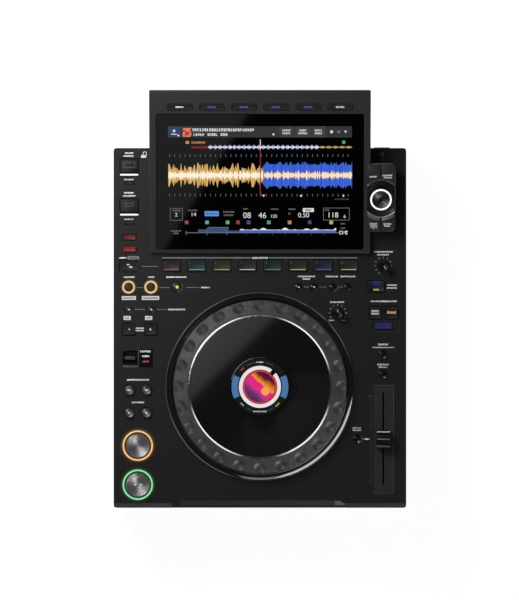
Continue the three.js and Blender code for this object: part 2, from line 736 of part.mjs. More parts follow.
function addLowerCase() {
  const outline = roundedRect(2 * caseHalfWidth, caseDepth, caseCornerRadius);
  const middleY = (frontY + rearY) / 2;
  const socketZ = footHeight + lowerCaseHeight / 2;
  const slab = prism(outline, footHeight, footHeight + lowerCaseHeight, 3).translate(0, middleY, 0);
  const additions = [];
  const cutters = [];
  for (const side of [-1, 1]) {
    for (const end of [-1, 1]) {
      additions.push(turned([
        [0, 0],
        [footRadius - footEdge, 0],
        [footRadius, footEdge],
        [footRadius, footHeight + cutOverrun],
        [0, footHeight + cutOverrun],
      ], smallRoundSides).translate(
        side * (caseHalfWidth - footInset),
        middleY + end * (caseDepth / 2 - footInset),
        0,
      ));
    }
  }
  for (const socket of [inlet, networkSocket, hostSocket]) {
    const rim = roundedRect(socket.width + 2 * socketFlangeRim, socket.height + 2 * socketFlangeRim, socketCorner);
    const mouth = roundedRect(socket.width, socket.height, socketCorner);
    additions.push(rearOutline(rim, -cutOverrun, socketFlange).translate(socket.x, rearY, socketZ));
    cutters.push(rearOutline(mouth, -socket.depth, cutOverrun).translate(socket.x, rearY, socketZ));
  }
  for (const x of phonoPlaces) {
    additions.push(turned([
      [0, -cutOverrun],
      [phono.nutRadius, -cutOverrun],
      [phono.nutRadius, phono.nutLength],
      [phono.radius, phono.nutLength],
      [phono.radius, phono.length],
      [0, phono.length],
    ], smallRoundSides).rotateX(-Math.PI / 2).translate(x, rearY, socketZ));
    cutters.push(turned([
      [0, phono.length - phono.boreDepth],
      [phono.boreRadius, phono.length - phono.boreDepth],
      [phono.boreRadius, phono.length + cutOverrun],
      [0, phono.length + cutOverrun],
    ], smallRoundSides / 2).rotateX(-Math.PI / 2).translate(x, rearY, socketZ));
  }
  const lock = roundedRect(lockSlot.width, lockSlot.height, socketCorner);
  cutters.push(rearOutline(lock, -lockSlot.depth, cutOverrun).translate(lockSlot.x, rearY, socketZ));
  for (let i = 0; i < ventCount; i += 1) {
    const x = (i - (ventCount - 1) / 2) * ventPitch;
    const slot = roundedRect(ventWidth, ventLength, ventWidth / 4);
    cutters.push(prism(slot, -cutOverrun, ventDepth).translate(x, middleY, footHeight));
  }
  let lower = cutAll(joinAll(solidOf(slab), additions), cutters);
  lower = joinAll(lower, inletPins(socketZ));
  addPiece("lower_case", geometryOf(lower), darkPlastic(), 0, 0, 0);
}

function inletPins(socketZ) {
  const places = [
    [-inletPin.spread, -inletPin.offset],
    [inletPin.spread, -inletPin.offset],
    [0, inletPin.offset],
  ];
  const far = inletPin.length - inlet.depth;
  return places.map(([across, up]) => {
    const blade = shapeOf([
      [-inletPin.width / 2, -inletPin.height / 2],
      [inletPin.width / 2, -inletPin.height / 2],
      [inletPin.width / 2, inletPin.height / 2],
      [-inletPin.width / 2, inletPin.height / 2],
    ]);
    return rearOutline(blade, -inlet.depth - cutOverrun, far).translate(inlet.x + across, rearY, socketZ + up);
  });
}

// Display housing: a wedge that stands on the deck and reaches out behind the case
function housingWedge() {
  const foot = deckZ + seatGap;
  const rearTop = deckZ + displayRearRise;
  const rearFoot = rearTop - displayRearThickness;
  const neckY = rearY - displayNeckInset;
  const grade = Math.tan(displayTilt);
  const neckTop = rearFoot - (displayRearY - neckY) * grade;
  const outline = new THREE.Shape();
  outline.moveTo(displayFrontY, foot);
  outline.lineTo(neckY, foot);
  outline.lineTo(neckY, neckTop - displayCorner);
  outline.quadraticCurveTo(neckY, neckTop, neckY + displayCorner, neckTop + displayCorner * grade);
  outline.lineTo(displayRearY - displayCorner, rearFoot - displayCorner * grade);
  outline.quadraticCurveTo(displayRearY, rearFoot, displayRearY, rearFoot + displayCorner);
  outline.lineTo(displayRearY, rearTop - displayCorner);
  outline.quadraticCurveTo(displayRearY, rearTop, displayRearY - displayCorner, rearTop - displayCorner * grade);
  outline.lineTo(displayFrontY + displayEdge, displayFrontZ + displayEdge * grade);
  outline.lineTo(displayFrontY, displayFrontZ - displayEdge / 2);
  return solidOf(runAcross(outline, displayWidth, displayEdge, 2));
}

// The pod: a cap that lies along the slope, on an upright pedestal from the deck
function podBlock() {
  const cap = bevelledSlab(roundedRect(podWidth, podLength, podCorner), podCapThickness + podRise, podEdge, 2, 3)
    .translate(podX, podCentreUp, -podCapThickness);
  const width = podWidth - 2 * podPedestalInset;
  const planLength = (podLength - 2 * podPedestalInset) * slopeCos;
  const podY = displayFrontY + podCentreUp * slopeCos;
  const pedestal = prism(roundedRect(width, planLength, podCorner), deckZ + seatGap, deckZ + displayRearRise, 3)
    .translate(podX, podY, 0);
  const underCap = prism(roundedRect(2 * podWidth, 2 * podLength, podCorner), -2 * displayRearRise, -podRise)
    .translate(podX, podCentreUp, 0);
  const foot = solidOf(pedestal).intersect(solidOf(onSlope(underCap)));
  return solidOf(onSlope(cap)).add(foot);
}

// The dish round the selector, cut off by the pod's sides
function selectorDishPiece() {
  const disc = turned([
    [0, -dishRise],
    [dishRadius, -dishRise],
    [dishRadius, podRise + dishRise - selectorEdge],
    [dishRadius - selectorEdge, podRise + dishRise],
    [selectorRadius + selectorEdge, podRise + dishRise - dishDepth],
    [0, podRise + dishRise - dishDepth],
  ], mediumRoundSides).translate(podX, podCentreUp, 0);
  const sides = prism(roundedRect(podWidth - 2 * podRim, podLength, podCorner), -dishRise, 2 * dishRise + podRise)
    .translate(podX, podCentreUp, 0);
  return solidOf(onSlope(disc)).intersect(solidOf(onSlope(sides)));
}

// One of the four corner keys of the pod, as a quarter outline less the dish's circle
function podKeyOutline(grow) {
  const halfWidth = podWidth / 2 - podRim + grow;
  const halfLength = podLength / 2 - podRim + grow;
  const split = podRim / 2 - grow;
  const dish = dishRadius + podRim / 2 - grow;
  const radius = podCorner - podRim + grow;
  const start = Math.acos(Math.min(1, halfWidth / dish));
  const end = Math.acos(split / dish);
  const outline = new THREE.Shape();
  outline.absarc(0, 0, dish, end, start, true);
  outline.absarc(halfWidth - radius, halfLength - radius, radius, 0, Math.PI / 2);
  outline.lineTo(split, halfLength);
  return outline;
}

const podKeys = [
  { name: "back_key", across: -1, up: 1 },
  { name: "tag_key", across: 1, up: 1 },
  { name: "shortcut_key_1", across: -1, up: -1 },
  { name: "shortcut_key_2", across: 1, up: -1 },
];

// The quarter outline is turned or mirrored into its corner of the pod
function podKeyPrism(corner, grow, low, high) {
  const quarter = prism(podKeyOutline(grow), low, high, 4);
  const solid = solidOf(quarter);
  return corner.across === corner.up ? solid.rotate([0, 0, corner.up > 0 ? 0 : 180])
    : solid.mirror([1, 0, 0]).rotate([0, 0, corner.up > 0 ? 0 : 180]);
}

function displayKeyX(index) {
  return (index - (displayKeyCount - 1) / 2) * displayKeyPitch;
}

function displayPockets() {
  const glassSeat = roundedRect(glassWidth + 2 * slideGap, glassLength + 2 * slideGap, glassCorner + slideGap);
  const cutters = [
    prism(glassSeat, -glassThickness - seatGap, cutOverrun)
      .translate(0, glassFrontMargin + glassLength / 2, 0),
  ];
  for (let i = 0; i < displayKeyCount; i += 1) {
    cutters.push(rectKeyWell(displayKey).translate(displayKeyX(i), displayKeyUp, 0));
  }
  const shaftHole = selectorShaftRadius + slideGap;
  const shaftDepth = selectorShaftSink + keyTravel + seatGap;
  cutters.push(turned([
    [0, -shaftDepth],
    [shaftHole, -shaftDepth],
    [shaftHole, podRise + dishRise + cutOverrun],
    [0, podRise + dishRise + cutOverrun],
  ], smallRoundSides).translate(podX, podCentreUp, 0));
  return cutters.map(onSlope);
}

function addDisplayHousing() {
  let housing = housingWedge().add(podBlock());
  const slopeDegrees = THREE.MathUtils.radToDeg(displayTilt);
  for (const corner of podKeys) {
    const low = podRise - wellDepth(keyTravel);
    const well = podKeyPrism(corner, slideGap, low, podRise + cutOverrun)
      .translate([podX, podCentreUp, 0])
      .rotate([slopeDegrees, 0, 0])
      .translate([0, displayFrontY, displayFrontZ]);
    housing = housing.subtract(well);
  }
  housing = housing.add(selectorDishPiece());
  housing = cutAll(housing, displayPockets());
  addPiece("display_housing", geometryOf(housing), housingPlastic(), 0, 0, 0);
}

function addDisplayPieces() {
  const glass = bevelledSlab(roundedRect(glassWidth, glassLength, glassCorner), glassThickness, glassEdge)
    .translate(0, 0, -glassThickness);
  addPiece("touch_glass", glass, blackGlass(), 0, glassFrontMargin + glassLength / 2, 0, slope);
  for (let i = 0; i < displayKeyCount; i += 1) {
    addPiece(`display_key_${i + 1}`, rectKeyBody(displayKey), keyPlastic(), displayKeyX(i), displayKeyUp, 0, slope);
  }
  for (const corner of podKeys) {
    const key = podKeyPrism(corner, 0, -keySkirt, podKeyRise);
    addPiece(corner.name, geometryOf(key), keyPlastic(), podX, podCentreUp, podRise, slope);
  }
}

// Selector: a shaft that is pushed, and the knob that turns on it
function addSelector() {
  const dishFloor = podRise + dishRise - dishDepth;
  const knobFoot = dishFloor + keyTravel + seatGap;
  const shaftTop = knobFoot + selectorShaftReach;
  const shaft = turned([
    [0, -selectorShaftSink],
    [selectorShaftRadius, -selectorShaftSink],
    [selectorShaftRadius, shaftTop],
    [0, shaftTop],
  ], smallRoundSides);
  addPiece("selector_shaft", shaft, spunMetal(), podX, podCentreUp, 0, slope);
  const top = knobFoot + selectorRise;
  const bore = selectorShaftRadius + slideGap;
  const capRadius = selectorRadius - selectorRingWidth;
  const knobBody = turned([
    [bore, knobFoot],
    [selectorRadius, knobFoot],
    [selectorRadius, top - selectorEdge],
    [selectorRadius - selectorEdge, top],
    [capRadius, top],
    [capRadius - selectorEdge, top - selectorDish],
    [0, top - selectorDish],
    [0, shaftTop + seatGap],
    [bore, shaftTop + seatGap],
    [bore, knobFoot],
  ], mediumRoundSides);
  addPiece("selector_knob", knobBody, spunMetal(), podX, podCentreUp, 0, slope);
}

// A small knob with a tapered grip and a pointer groove
function addKnob(name, x, y) {
  const body = turned([
    [0, -knob.spindleSink],
    [knob.spindleRadius, -knob.spindleSink],
    [knob.spindleRadius, seatGap],
    [knob.radius, seatGap],
    [knob.radius, knob.rise / 4],
    [knob.topRadius, knob.rise / 3],
    [knob.topRadius, knob.rise - knob.edge],
    [knob.topRadius - knob.edge, knob.rise],
    [0, knob.rise],
  ], smallRoundSides);
  const pointer = prism(shapeOf([
    [-knobPointerWidth / 2, knob.topRadius / 3],
    [knobPointerWidth / 2, knob.topRadius / 3],
    [knobPointerWidth / 2, knob.topRadius + cutOverrun],
    [-knobPointerWidth / 2, knob.topRadius + cutOverrun],
  ]), knob.rise - knobPointerDepth, knob.rise + cutOverrun);
  addPiece(name, geometryOf(cutAll(solidOf(body), [pointer])), keyPlastic(), x, y, deckZ);
}

// Tempo slider cap: a waisted grip on a foot, with a stem down through the slot
function addFaderCap() {
  const foot = seatGap - faderPlateSink;
  const half = faderCapLength / 2;
  const grip = new THREE.Shape();
  grip.moveTo(-half, foot);
  grip.lineTo(half, foot);
  grip.lineTo(half, foot + faderCapFoot);
  grip.quadraticCurveTo(faderCapWaist, faderCapFoot, faderCapWaist, faderCapWaistHeight);
  grip.lineTo(faderCapRidge, faderCapHeight);
  grip.lineTo(-faderCapRidge, faderCapHeight);
  grip.lineTo(-faderCapWaist, faderCapWaistHeight);
  grip.quadraticCurveTo(-faderCapWaist, faderCapFoot, -half, foot + faderCapFoot);
  const stemWidth = faderSlotWidth - 2 * slideGap;
  const stem = prism(roundedRect(stemWidth, faderStemLength, stemWidth / 2 - slideGap / 2),
    -faderStemDepth, faderCapFoot);
  const cap = joinAll(solidOf(runAcross(grip, faderCapWidth, faderCapEdge, 3)), [stem]);
  addPiece("tempo_slider_cap", geometryOf(cap), keyPlastic(), rightColumnX, faderY, deckZ);
}

// Direction lever: a blade on a hub that lies across its well
function addLever() {
  const reach = leverPivotDepth + leverRise;
  const root = leverRootThickness / 2;
  const tip = leverTipThickness / 2;
  const blade = new THREE.Shape();
  blade.moveTo(-root, 0);
  blade.lineTo(root, 0);
  blade.lineTo(tip, reach - tip);
  blade.absarc(0, reach - tip, tip, 0, Math.PI);
  const hub = turned([
    [0, -leverWellWidth / 2 + slideGap],
    [leverHubRadius, -leverWellWidth / 2 + slideGap],
    [leverHubRadius, leverWellWidth / 2 - slideGap],
    [0, leverWellWidth / 2 - slideGap],
  ], smallRoundSides).rotateY(Math.PI / 2);
  const lever = joinAll(solidOf(runAcross(blade, leverBladeWidth, keyEdge, 3)), [hub]);
  addPiece("direction_lever", geometryOf(lever), keyPlastic(), leverX, leverY, deckZ - leverPivotDepth);
}

// A port lid that turns up about the round edge at its rear
function addLid(name, y) {
  const barrel = lidThickness / 2;
  const outline = new THREE.Shape();
  outline.absarc(0, 0, barrel, -Math.PI / 2, Math.PI / 2);
  outline.lineTo(barrel + 2 * slideGap - lidDepth, barrel);
  outline.lineTo(barrel + 2 * slideGap - lidDepth, -barrel);
  const lid = runAcross(outline, lidWidth - 2 * slideGap, 0, 3);
  addPiece(name, lid, darkPlastic(), portColumnX, y + lidDepth / 2 - slideGap - barrel, deckZ - barrel);
}

function addPowerKey() {
  const outline = roundedRect(powerKey.width, powerKey.height, keyCorner);
  const key = bevelledSlab(outline, powerKey.proud + keySkirt, keyEdge)
    .translate(0, 0, -keySkirt)
    .rotateX(-Math.PI / 2);
  addPiece("power_key", key, keyPlastic(), caseHalfWidth - powerKeyInset, rearY,
    deckZ - powerKeyDrop - powerKey.height / 2);
}

addLowerCase();
addUpperCase();
addDisplayHousing();
player.add(slope);
addDisplayPieces();
addSelector();
addJog();
addDeckKeys();
addKnob("vinyl_speed_knob", rightColumnX, padRowY);
addKnob("jog_feel_knob", jogFeelX, jogFeelY);
addFaderCap();
addLever();
addLid("port_lid_1", firstLidY);
addLid("port_lid_2", secondLidY);
addPowerKey();

export default player;
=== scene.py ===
# The look of a tabletop player for DJs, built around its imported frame.
# Metres in the scene, millimetres in the settings. +X right, +Y to the rear, +Z up.
import math
import random

import bmesh
import bpy
from mathutils import Matrix, Vector


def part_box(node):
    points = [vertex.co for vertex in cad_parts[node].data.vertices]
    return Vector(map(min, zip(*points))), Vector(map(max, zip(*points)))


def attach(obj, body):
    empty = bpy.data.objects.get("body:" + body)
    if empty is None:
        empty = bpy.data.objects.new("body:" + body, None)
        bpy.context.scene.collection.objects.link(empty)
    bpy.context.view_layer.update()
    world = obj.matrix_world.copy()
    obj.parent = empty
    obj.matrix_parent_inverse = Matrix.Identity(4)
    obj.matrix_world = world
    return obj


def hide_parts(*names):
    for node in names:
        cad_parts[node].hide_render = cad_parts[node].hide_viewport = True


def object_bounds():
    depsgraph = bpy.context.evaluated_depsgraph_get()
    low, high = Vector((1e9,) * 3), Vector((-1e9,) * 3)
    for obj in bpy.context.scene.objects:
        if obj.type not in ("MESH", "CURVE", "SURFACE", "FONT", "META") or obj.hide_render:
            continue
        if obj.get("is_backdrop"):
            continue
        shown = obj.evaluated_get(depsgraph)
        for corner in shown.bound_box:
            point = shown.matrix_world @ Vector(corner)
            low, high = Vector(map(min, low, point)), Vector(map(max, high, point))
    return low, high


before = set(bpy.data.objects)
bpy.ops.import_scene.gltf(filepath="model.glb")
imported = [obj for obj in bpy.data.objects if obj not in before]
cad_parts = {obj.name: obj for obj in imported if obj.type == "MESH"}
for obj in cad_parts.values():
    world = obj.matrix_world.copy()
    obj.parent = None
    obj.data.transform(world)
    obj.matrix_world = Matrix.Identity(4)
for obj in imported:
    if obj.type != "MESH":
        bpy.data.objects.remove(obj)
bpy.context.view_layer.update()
mm = 0.001
fullTurn = 2 * math.pi
chance = random.Random(11)
print("frame loaded")

# The photograph's frame: millimetres to a pixel, and the pixels of x = 0 and of the front edge
photo = {"scale": 1.124, "middleX": 259.92, "frontY": 508.0}
deck = {"z": 76.0, "frontY": -234.15}
# The display's slope: its front edge, and how far it climbs over its depth
slope = {"y": 52.15, "z": 80.5, "rise": 37.5, "run": 182.0}
slope["tilt"] = math.atan2(slope["rise"], slope["run"])


def moved(across, along, up=0.0):
    return Matrix.Translation((across * mm, along * mm, up * mm))


deckPlane = moved(0, 0, deck["z"])
slopePlane = moved(0, slope["y"], slope["z"]) @ Matrix.Rotation(slope["tilt"], 4, "X")


# Shader helpers: a socket that can be summed, and a finish that holds one material's nodes
class Signal:
    def __init__(self, finish, socket):
        self.finish = finish
        self.socket = socket

    def __add__(self, other):
        return self.finish.sum("ADD", self, other)

    __radd__ = __add__

    def __sub__(self, other):
        return self.finish.sum("SUBTRACT", self, other)

    def __rsub__(self, other):
        return self.finish.sum("SUBTRACT", other, self)

    def __mul__(self, other):
        return self.finish.sum("MULTIPLY", self, other)

    __rmul__ = __mul__

    def __truediv__(self, other):
        return self.finish.sum("DIVIDE", self, other)

    def __gt__(self, other):
        return self.finish.sum("GREATER_THAN", self, other)

    def __lt__(self, other):
        return self.finish.sum("LESS_THAN", self, other)


class Finish:
    def __init__(self, name, **fixed):
        self.material = bpy.data.materials.new(name)
        self.material.use_nodes = True
        self.nodes = self.material.node_tree.nodes
        self.links = self.material.node_tree.links
        self.shader = self.nodes["Principled BSDF"]
        self.fill(self.shader, {key.replace("_", " "): value for key, value in fixed.items()})

    def fill(self, node, sockets):
        for key, value in sockets.items():
            if isinstance(value, Signal):
                self.links.new(value.socket, node.inputs[key])
            else:
                node.inputs[key].default_value = value

    def node(self, kind, output, settings=None, sockets=None):
        made = self.nodes.new("ShaderNode" + kind)
        for key, value in (settings or {}).items():
            if key == "stops":
                for index, (place, colour) in enumerate(value):
                    ramp = made.color_ramp.elements
                    stop = ramp[index] if index < 2 else ramp.new(place)
                    stop.position = place
                    stop.color = (*colour, 1)
            else:
                setattr(made, key, value)
        self.fill(made, sockets or {})
        return Signal(self, made.outputs[output])

    def sum(self, operation, first, second=0.0):
        return self.node("Math", 0, {"operation": operation}, {0: first, 1: second})

    def call(self, operation, value):
        return self.node("Math", 0, {"operation": operation}, {0: value})

    def limit(self, value):
        return self.node("Clamp", 0, None, {"Value": value})

    def mix(self, factor, first, second):
        first = first if isinstance(first, Signal) else (*first, 1)
        second = second if isinstance(second, Signal) else (*second, 1)
        return self.node("Mix", 2, {"data_type": "RGBA"}, {0: factor, 6: first, 7: second})

    def place(self, matrix=None):
        # Object coordinates, or those of a piece's own frame where a matrix gives it
        coords = self.node("TexCoord", "Object")
        if matrix is None:
            return coords
        back = matrix.inverted()
        return self.node("Mapping", 0, None, {"Vector": coords, "Location": back.to_translation(),
                                              "Rotation": back.to_euler()})

    def parts(self, vector):
        split = self.nodes.new("ShaderNodeSeparateXYZ")
        self.links.new(vector.socket, split.inputs[0])
        return [Signal(self, split.outputs[index]) for index in range(3)]

    def noise(self, coords, scale, detail=2.0, rough=0.5):
        return self.node("TexNoise", "Fac", None, {"Vector": coords, "Scale": scale, "Detail": detail,
                                                    "Roughness": rough})

    def bump(self, height, distance, strength=1.0):
        normal = self.node("Bump", 0, None, {"Height": height, "Distance": distance, "Strength": strength})
        self.fill(self.shader, {"Normal": normal})


mouldedBasics = {"specular": 0.5, "patchScale": 22, "grainScale": 2600, "grainDepth": 0.012,
                 "patchShare": 0.7, "grainShare": 0.3, "roughDrift": 0.08, "roughGrain": 0.05}


def mouldedParts(finish, look):
    # Soft patches and a fine moulded grain: how light the tone is, and a roughness that drifts
    coords = finish.place()
    patches = finish.noise(coords, look["patchScale"], 3)
    grain = finish.noise(coords, look["grainScale"], 2)
    tone = finish.limit(patches * look["patchShare"] + grain * look["grainShare"])
    finish.bump(grain, look["grainDepth"] * mm)
    return tone, patches * look["roughDrift"] + grain * look["roughGrain"] + look["rough"]


def mouldedPlastic(name, look):
    look = {**mouldedBasics, **look}
    finish = Finish(name, Specular_IOR_Level=look["specular"])
    tone, rough = mouldedParts(finish, look)
    finish.fill(finish.shader, {"Base Color": finish.mix(tone, look["dark"], look["light"]),
                                "Roughness": rough})
    return finish.material


def shaded(colour, share):
    return tuple(share * part for part in colour)


def litPlastic(name, colour, body=(0.02, 0.02, 0.02)):
    # A window lit from below: a little brighter in patches, as a moulded light guide is
    finish = Finish(name, Emission_Strength=1.0)
    cloud = finish.noise(finish.place(), 900, 2)
    finish.fill(finish.shader, {"Base Color": finish.mix(cloud, body, shaded(body, 1.3)),
                                "Emission Color": finish.mix(cloud, shaded(colour, 0.72), colour),
                                "Roughness": cloud * 0.2 + 0.25})
    return finish.material


spunBasics = {"lineShare": 0.7, "scratchShare": 0.9, "scratchScale": 9000, "patchScale": 180,
              "scratchRough": 0.12}


def spunMetal(name, look, matrix):
    # Fine turned lines round the piece's own centre: each line leans the surface in or out
    look = {**spunBasics, **look}
    finish = Finish(name, Metallic=1.0)
    coords = finish.place(matrix)
    across, along, up = finish.parts(coords)
    reach = finish.call("SQRT", across * across + along * along) + 0.001 * mm
    lines = finish.call("SINE", reach * (fullTurn / (look["linePitch"] * mm)))
    scratches = finish.noise(finish.node("CombineXYZ", 0, None, {0: reach * look["scratchScale"]}), 1.0, 4)
    patches = finish.noise(coords, look["patchScale"], 2)
    lean = (lines * look["lineShare"] + (scratches - 0.5) * look["scratchShare"]) * look["slant"]
    local = finish.node("CombineXYZ", 0, None, {0: across / reach * lean, 1: along / reach * lean})
    leaning = finish.node("VectorRotate", 0, {"rotation_type": "EULER_XYZ"},
                          {"Vector": local, "Rotation": matrix.to_3x3().to_euler()})
    flat = finish.node("TexCoord", "Normal")
    bent = finish.node("VectorMath", 0, {"operation": "ADD"}, {0: flat, 1: leaning})
    world = finish.node("VectorTransform", 0, {"vector_type": "NORMAL", "convert_from": "OBJECT",
                                               "convert_to": "WORLD"}, {0: bent})
    finish.fill(finish.shader, {
        "Base Color": finish.mix(finish.limit(scratches * 0.8 + patches * 0.3), look["dark"], look["light"]),
        "Roughness": scratches * look["scratchRough"] + look["rough"],
        "Normal": world,
    })
    return finish.material


def greys(dark, light, blueLift=0.0):
    # Two greys, a little blue where a lift is given
    return {"dark": (dark, dark, dark + blueLift), "light": (light, light, light + blueLift)}


inkLook = {"rough": 0.55, "grainDepth": 0.004}
finishLooks = {
    "case": {**greys(0.0098, 0.0138, 0.0005), "rough": 0.34, "specular": 0.12},
    "housing": {"dark": (0.0190, 0.0190, 0.0194), "light": (0.0250, 0.0250, 0.0255), "rough": 0.32,
                "specular": 0.15, "grainScale": 3200},
    "key": {**greys(0.0045, 0.0075, 0.0003), "rough": 0.42, "specular": 0.25, "grainScale": 4200,
            "grainDepth": 0.006},
    "gloss": {**greys(0.0016, 0.0026, 0.0002), "rough": 0.07, "roughDrift": 0.03, "grainDepth": 0.0003},
    "well": {**greys(0.0008, 0.0016, 0.0001), "rough": 0.6, "specular": 0.08},
    "rubber": {**greys(0.006, 0.011), "rough": 0.72, "grainDepth": 0.03, "grainScale": 1400},
    "whiteInk": {**greys(0.50, 0.66, 0.01), **inkLook}, "greyInk": {**greys(0.15, 0.21, 0.005), **inkLook},
    "dimInk": {"dark": (0.055, 0.055, 0.057), "light": (0.08, 0.08, 0.083), **inkLook},
    "darkInk": {**greys(0.012, 0.02, 0.001), **inkLook, "rough": 0.6},
}
finishes = {name: mouldedPlastic(name + "Finish", look) for name, look in finishLooks.items()}
print("finishes made")


# Modelling helpers. Each piece is shaped round the origin with its own plane at z = 0, then set in place
def clearSelection():
    bpy.ops.object.select_all(action="DESELECT")


def pickFaces(piece, rule):
    sheet = bmesh.from_edit_mesh(piece.data)
    bpy.ops.mesh.select_all(action="DESELECT")
    for face in sheet.faces:
        face.select_set(rule(face))
    bmesh.update_edit_mesh(piece.data)


def pickEdges(piece, rule):
    sheet = bmesh.from_edit_mesh(piece.data)
    bpy.ops.mesh.select_all(action="DESELECT")
    for edge in sheet.edges:
        edge.select_set(rule(edge.verts[0].co, edge.verts[1].co))
    bmesh.update_edit_mesh(piece.data)


def enterEdit(mode="FACE"):
    bpy.ops.object.mode_set(mode="EDIT")
    bpy.ops.mesh.select_mode(type=mode)


def leaveEdit():
    bpy.ops.object.mode_set(mode="OBJECT")


def applyModifier(piece, kind, **settings):
    clearSelection()
    bpy.context.view_layer.objects.active = piece
    piece.select_set(True)
    modifier = piece.modifiers.new(kind.title(), kind)
    for key, value in settings.items():
        setattr(modifier, key, value)
    bpy.ops.object.modifier_apply(modifier=modifier.name)


def softenEdges(piece, width, segments=2, angle=32):
    applyModifier(piece, "BEVEL", width=width * mm, segments=segments, limit_method="ANGLE",
                  angle_limit=math.radians(angle), use_clamp_overlap=True)


def spinPiece(name, profile, turns=64, start=0.0, sweep=fullTurn):
    # A closed outline of (radius, height) points, spun about +Z
    clearSelection()
    bpy.ops.mesh.primitive_circle_add(vertices=len(profile), radius=mm, fill_type="NOTHING")
    piece = bpy.context.object
    piece.name = name
    for vertex, (radius, height) in zip(piece.data.vertices, profile):
        vertex.co = (radius * mm * math.cos(start), radius * mm * math.sin(start), height * mm)
    enterEdit("VERT")
    bpy.ops.mesh.select_all(action="SELECT")
    bpy.ops.mesh.spin(steps=turns, angle=-sweep, center=(0, 0, 0), axis=(0, 0, 1))
    bpy.ops.mesh.select_all(action="SELECT")
    bpy.ops.mesh.remove_doubles(threshold=0.002 * mm)
    if sweep < fullTurn:
        bpy.ops.mesh.select_all(action="SELECT")
        bpy.ops.mesh.fill_holes(sides=0)
    bpy.ops.mesh.select_all(action="SELECT")
    bpy.ops.mesh.normals_make_consistent(inside=False)
    leaveEdit()
    return piece


def slabPiece(name, width, depth, low, high, corner=0.0, cornerSteps=4, middle=(0, 0)):
    clearSelection()
    bpy.ops.mesh.primitive_cube_add(size=1, location=(middle[0] * mm, middle[1] * mm, (low + high) / 2 * mm),
                                    scale=(width * mm, depth * mm, (high - low) * mm))
    piece = bpy.context.object
    piece.name = name
    bpy.ops.object.transform_apply(location=True, rotation=True, scale=True)
    if corner:
        enterEdit("EDGE")
        pickEdges(piece, lambda a, b: abs(a.z - b.z) > 0.01 * mm)
        bpy.ops.mesh.bevel(offset=corner * mm, segments=cornerSteps, affect="EDGES")
        leaveEdit()
    return piece


def stepTop(piece, steps, height):
    # The top face is inset and lifted step by step, starting from the given height
    enterEdit("FACE")
    pickFaces(piece, lambda face: face.normal.z > 0.9
              and abs(face.calc_center_median().z - height * mm) < 0.01 * mm)
    for inward, lift in steps:
        bpy.ops.mesh.inset(thickness=inward * mm, depth=0)
        bpy.ops.transform.translate(value=(0, 0, lift * mm))
    leaveEdit()


def joinPieces(name, pieces):
    clearSelection()
    for piece in pieces:
        piece.select_set(True)
    bpy.context.view_layer.objects.active = pieces[0]
    bpy.ops.object.join()
    pieces[0].name = name
    return pieces[0]


def copyPiece(source, name):
    twin = source.copy()
    twin.data = source.data.copy()
    twin.name = name
    bpy.context.scene.collection.objects.link(twin)
    return twin


def dropPiece(piece):
    bpy.data.objects.remove(piece)


def setPiece(piece, matrix, body, material, replaced=(), smooth=35):
    # Puts the place in the mesh, gives the finish or the one of that name, and ties the piece to its body
    piece.data.name = piece.name
    piece.data.transform(matrix)
    piece.data.materials.clear()
    piece.data.materials.append(finishes.get(material, material))
    clearSelection()
    bpy.context.view_layer.objects.active = piece
    piece.select_set(True)
    bpy.ops.object.shade_smooth_by_angle(angle=math.radians(smooth))
    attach(piece, body)
    if replaced:
        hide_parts(*replaced)
    return piece


def nodeMiddle(node):
    low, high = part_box(node)
    return (low + high) / 2


def nodeSize(node):
    # Width, depth, and the top's height over the deck, in millimetres
    low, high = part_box(node)
    return (high.x - low.x) / mm, (high.y - low.y) / mm, high.z / mm - deck["z"]


def onDeck(node):
    middle = nodeMiddle(node)
    return Matrix.Translation((middle.x, middle.y, deck["z"] * mm))


def onSlope(across, up):
    return slopePlane @ moved(across, up)


def onScreen(pixelX, pixelY):
    # A pixel's place on the slope. What stands nearer the camera looks farther from the middle
    across = (pixelX - photo["middleX"]) * photo["scale"]
    along = (photo["frontY"] - pixelY) * photo["scale"] + deck["frontY"]
    lift = slope["z"] - deck["z"] + (along - slope["y"]) * math.tan(slope["tilt"])
    nearer = 1 - lift * mm / cameraRise
    return across * nearer, (along * nearer - slope["y"]) / math.cos(slope["tilt"])


def fromFront(far):
    return far + deck["frontY"]


def partName(node, ending):
    return node.replace("_key", ending)


# Stage: the camera looks straight down, the lamps are soft, and the floor is pale
stage = {"lens": 300, "frameWidth": 0.6744, "sensor": 36, "middle": (-0.0005, -0.0004), "farClip": 60,
         "floorSize": 14, "floorColours": ((0.86, 0.86, 0.86), (0.9, 0.9, 0.9)), "floorRough": 0.9,
         "floorLift": 0.86, "floorGlow": 1.12, "lampAim": (0, 0, 0.05),
         "lamps": [("keyLamp", (-0.50, 0.60, 0.62), 0.4, 14.0), ("fillLamp", (1.2, -0.9, 1.1), 0.9, 0.8)]}
# The sky is bright low down at the four diagonals, dimmer between them, and dark overhead
studioSky = {"band": (1.5, 1.5, 1.52), "bandDim": (0.006, 0.006, 0.006), "bandFrom": 0.45, "bandTo": 0.85,
             "bandAbove": 0.16, "bandRise": 12, "middle": (0.05, 0.05, 0.052),
             "overhead": (0.085, 0.085, 0.088), "overheadFrom": 0.45, "overheadTo": 0.8,
             "patchAim": (0.0, -0.385), "patchHalf": (0.16, 0.10), "patchRise": 15,
             "patchFoot": 0.5, "patchFootRise": 10, "seen": (1.0, 1.0, 1.0)}
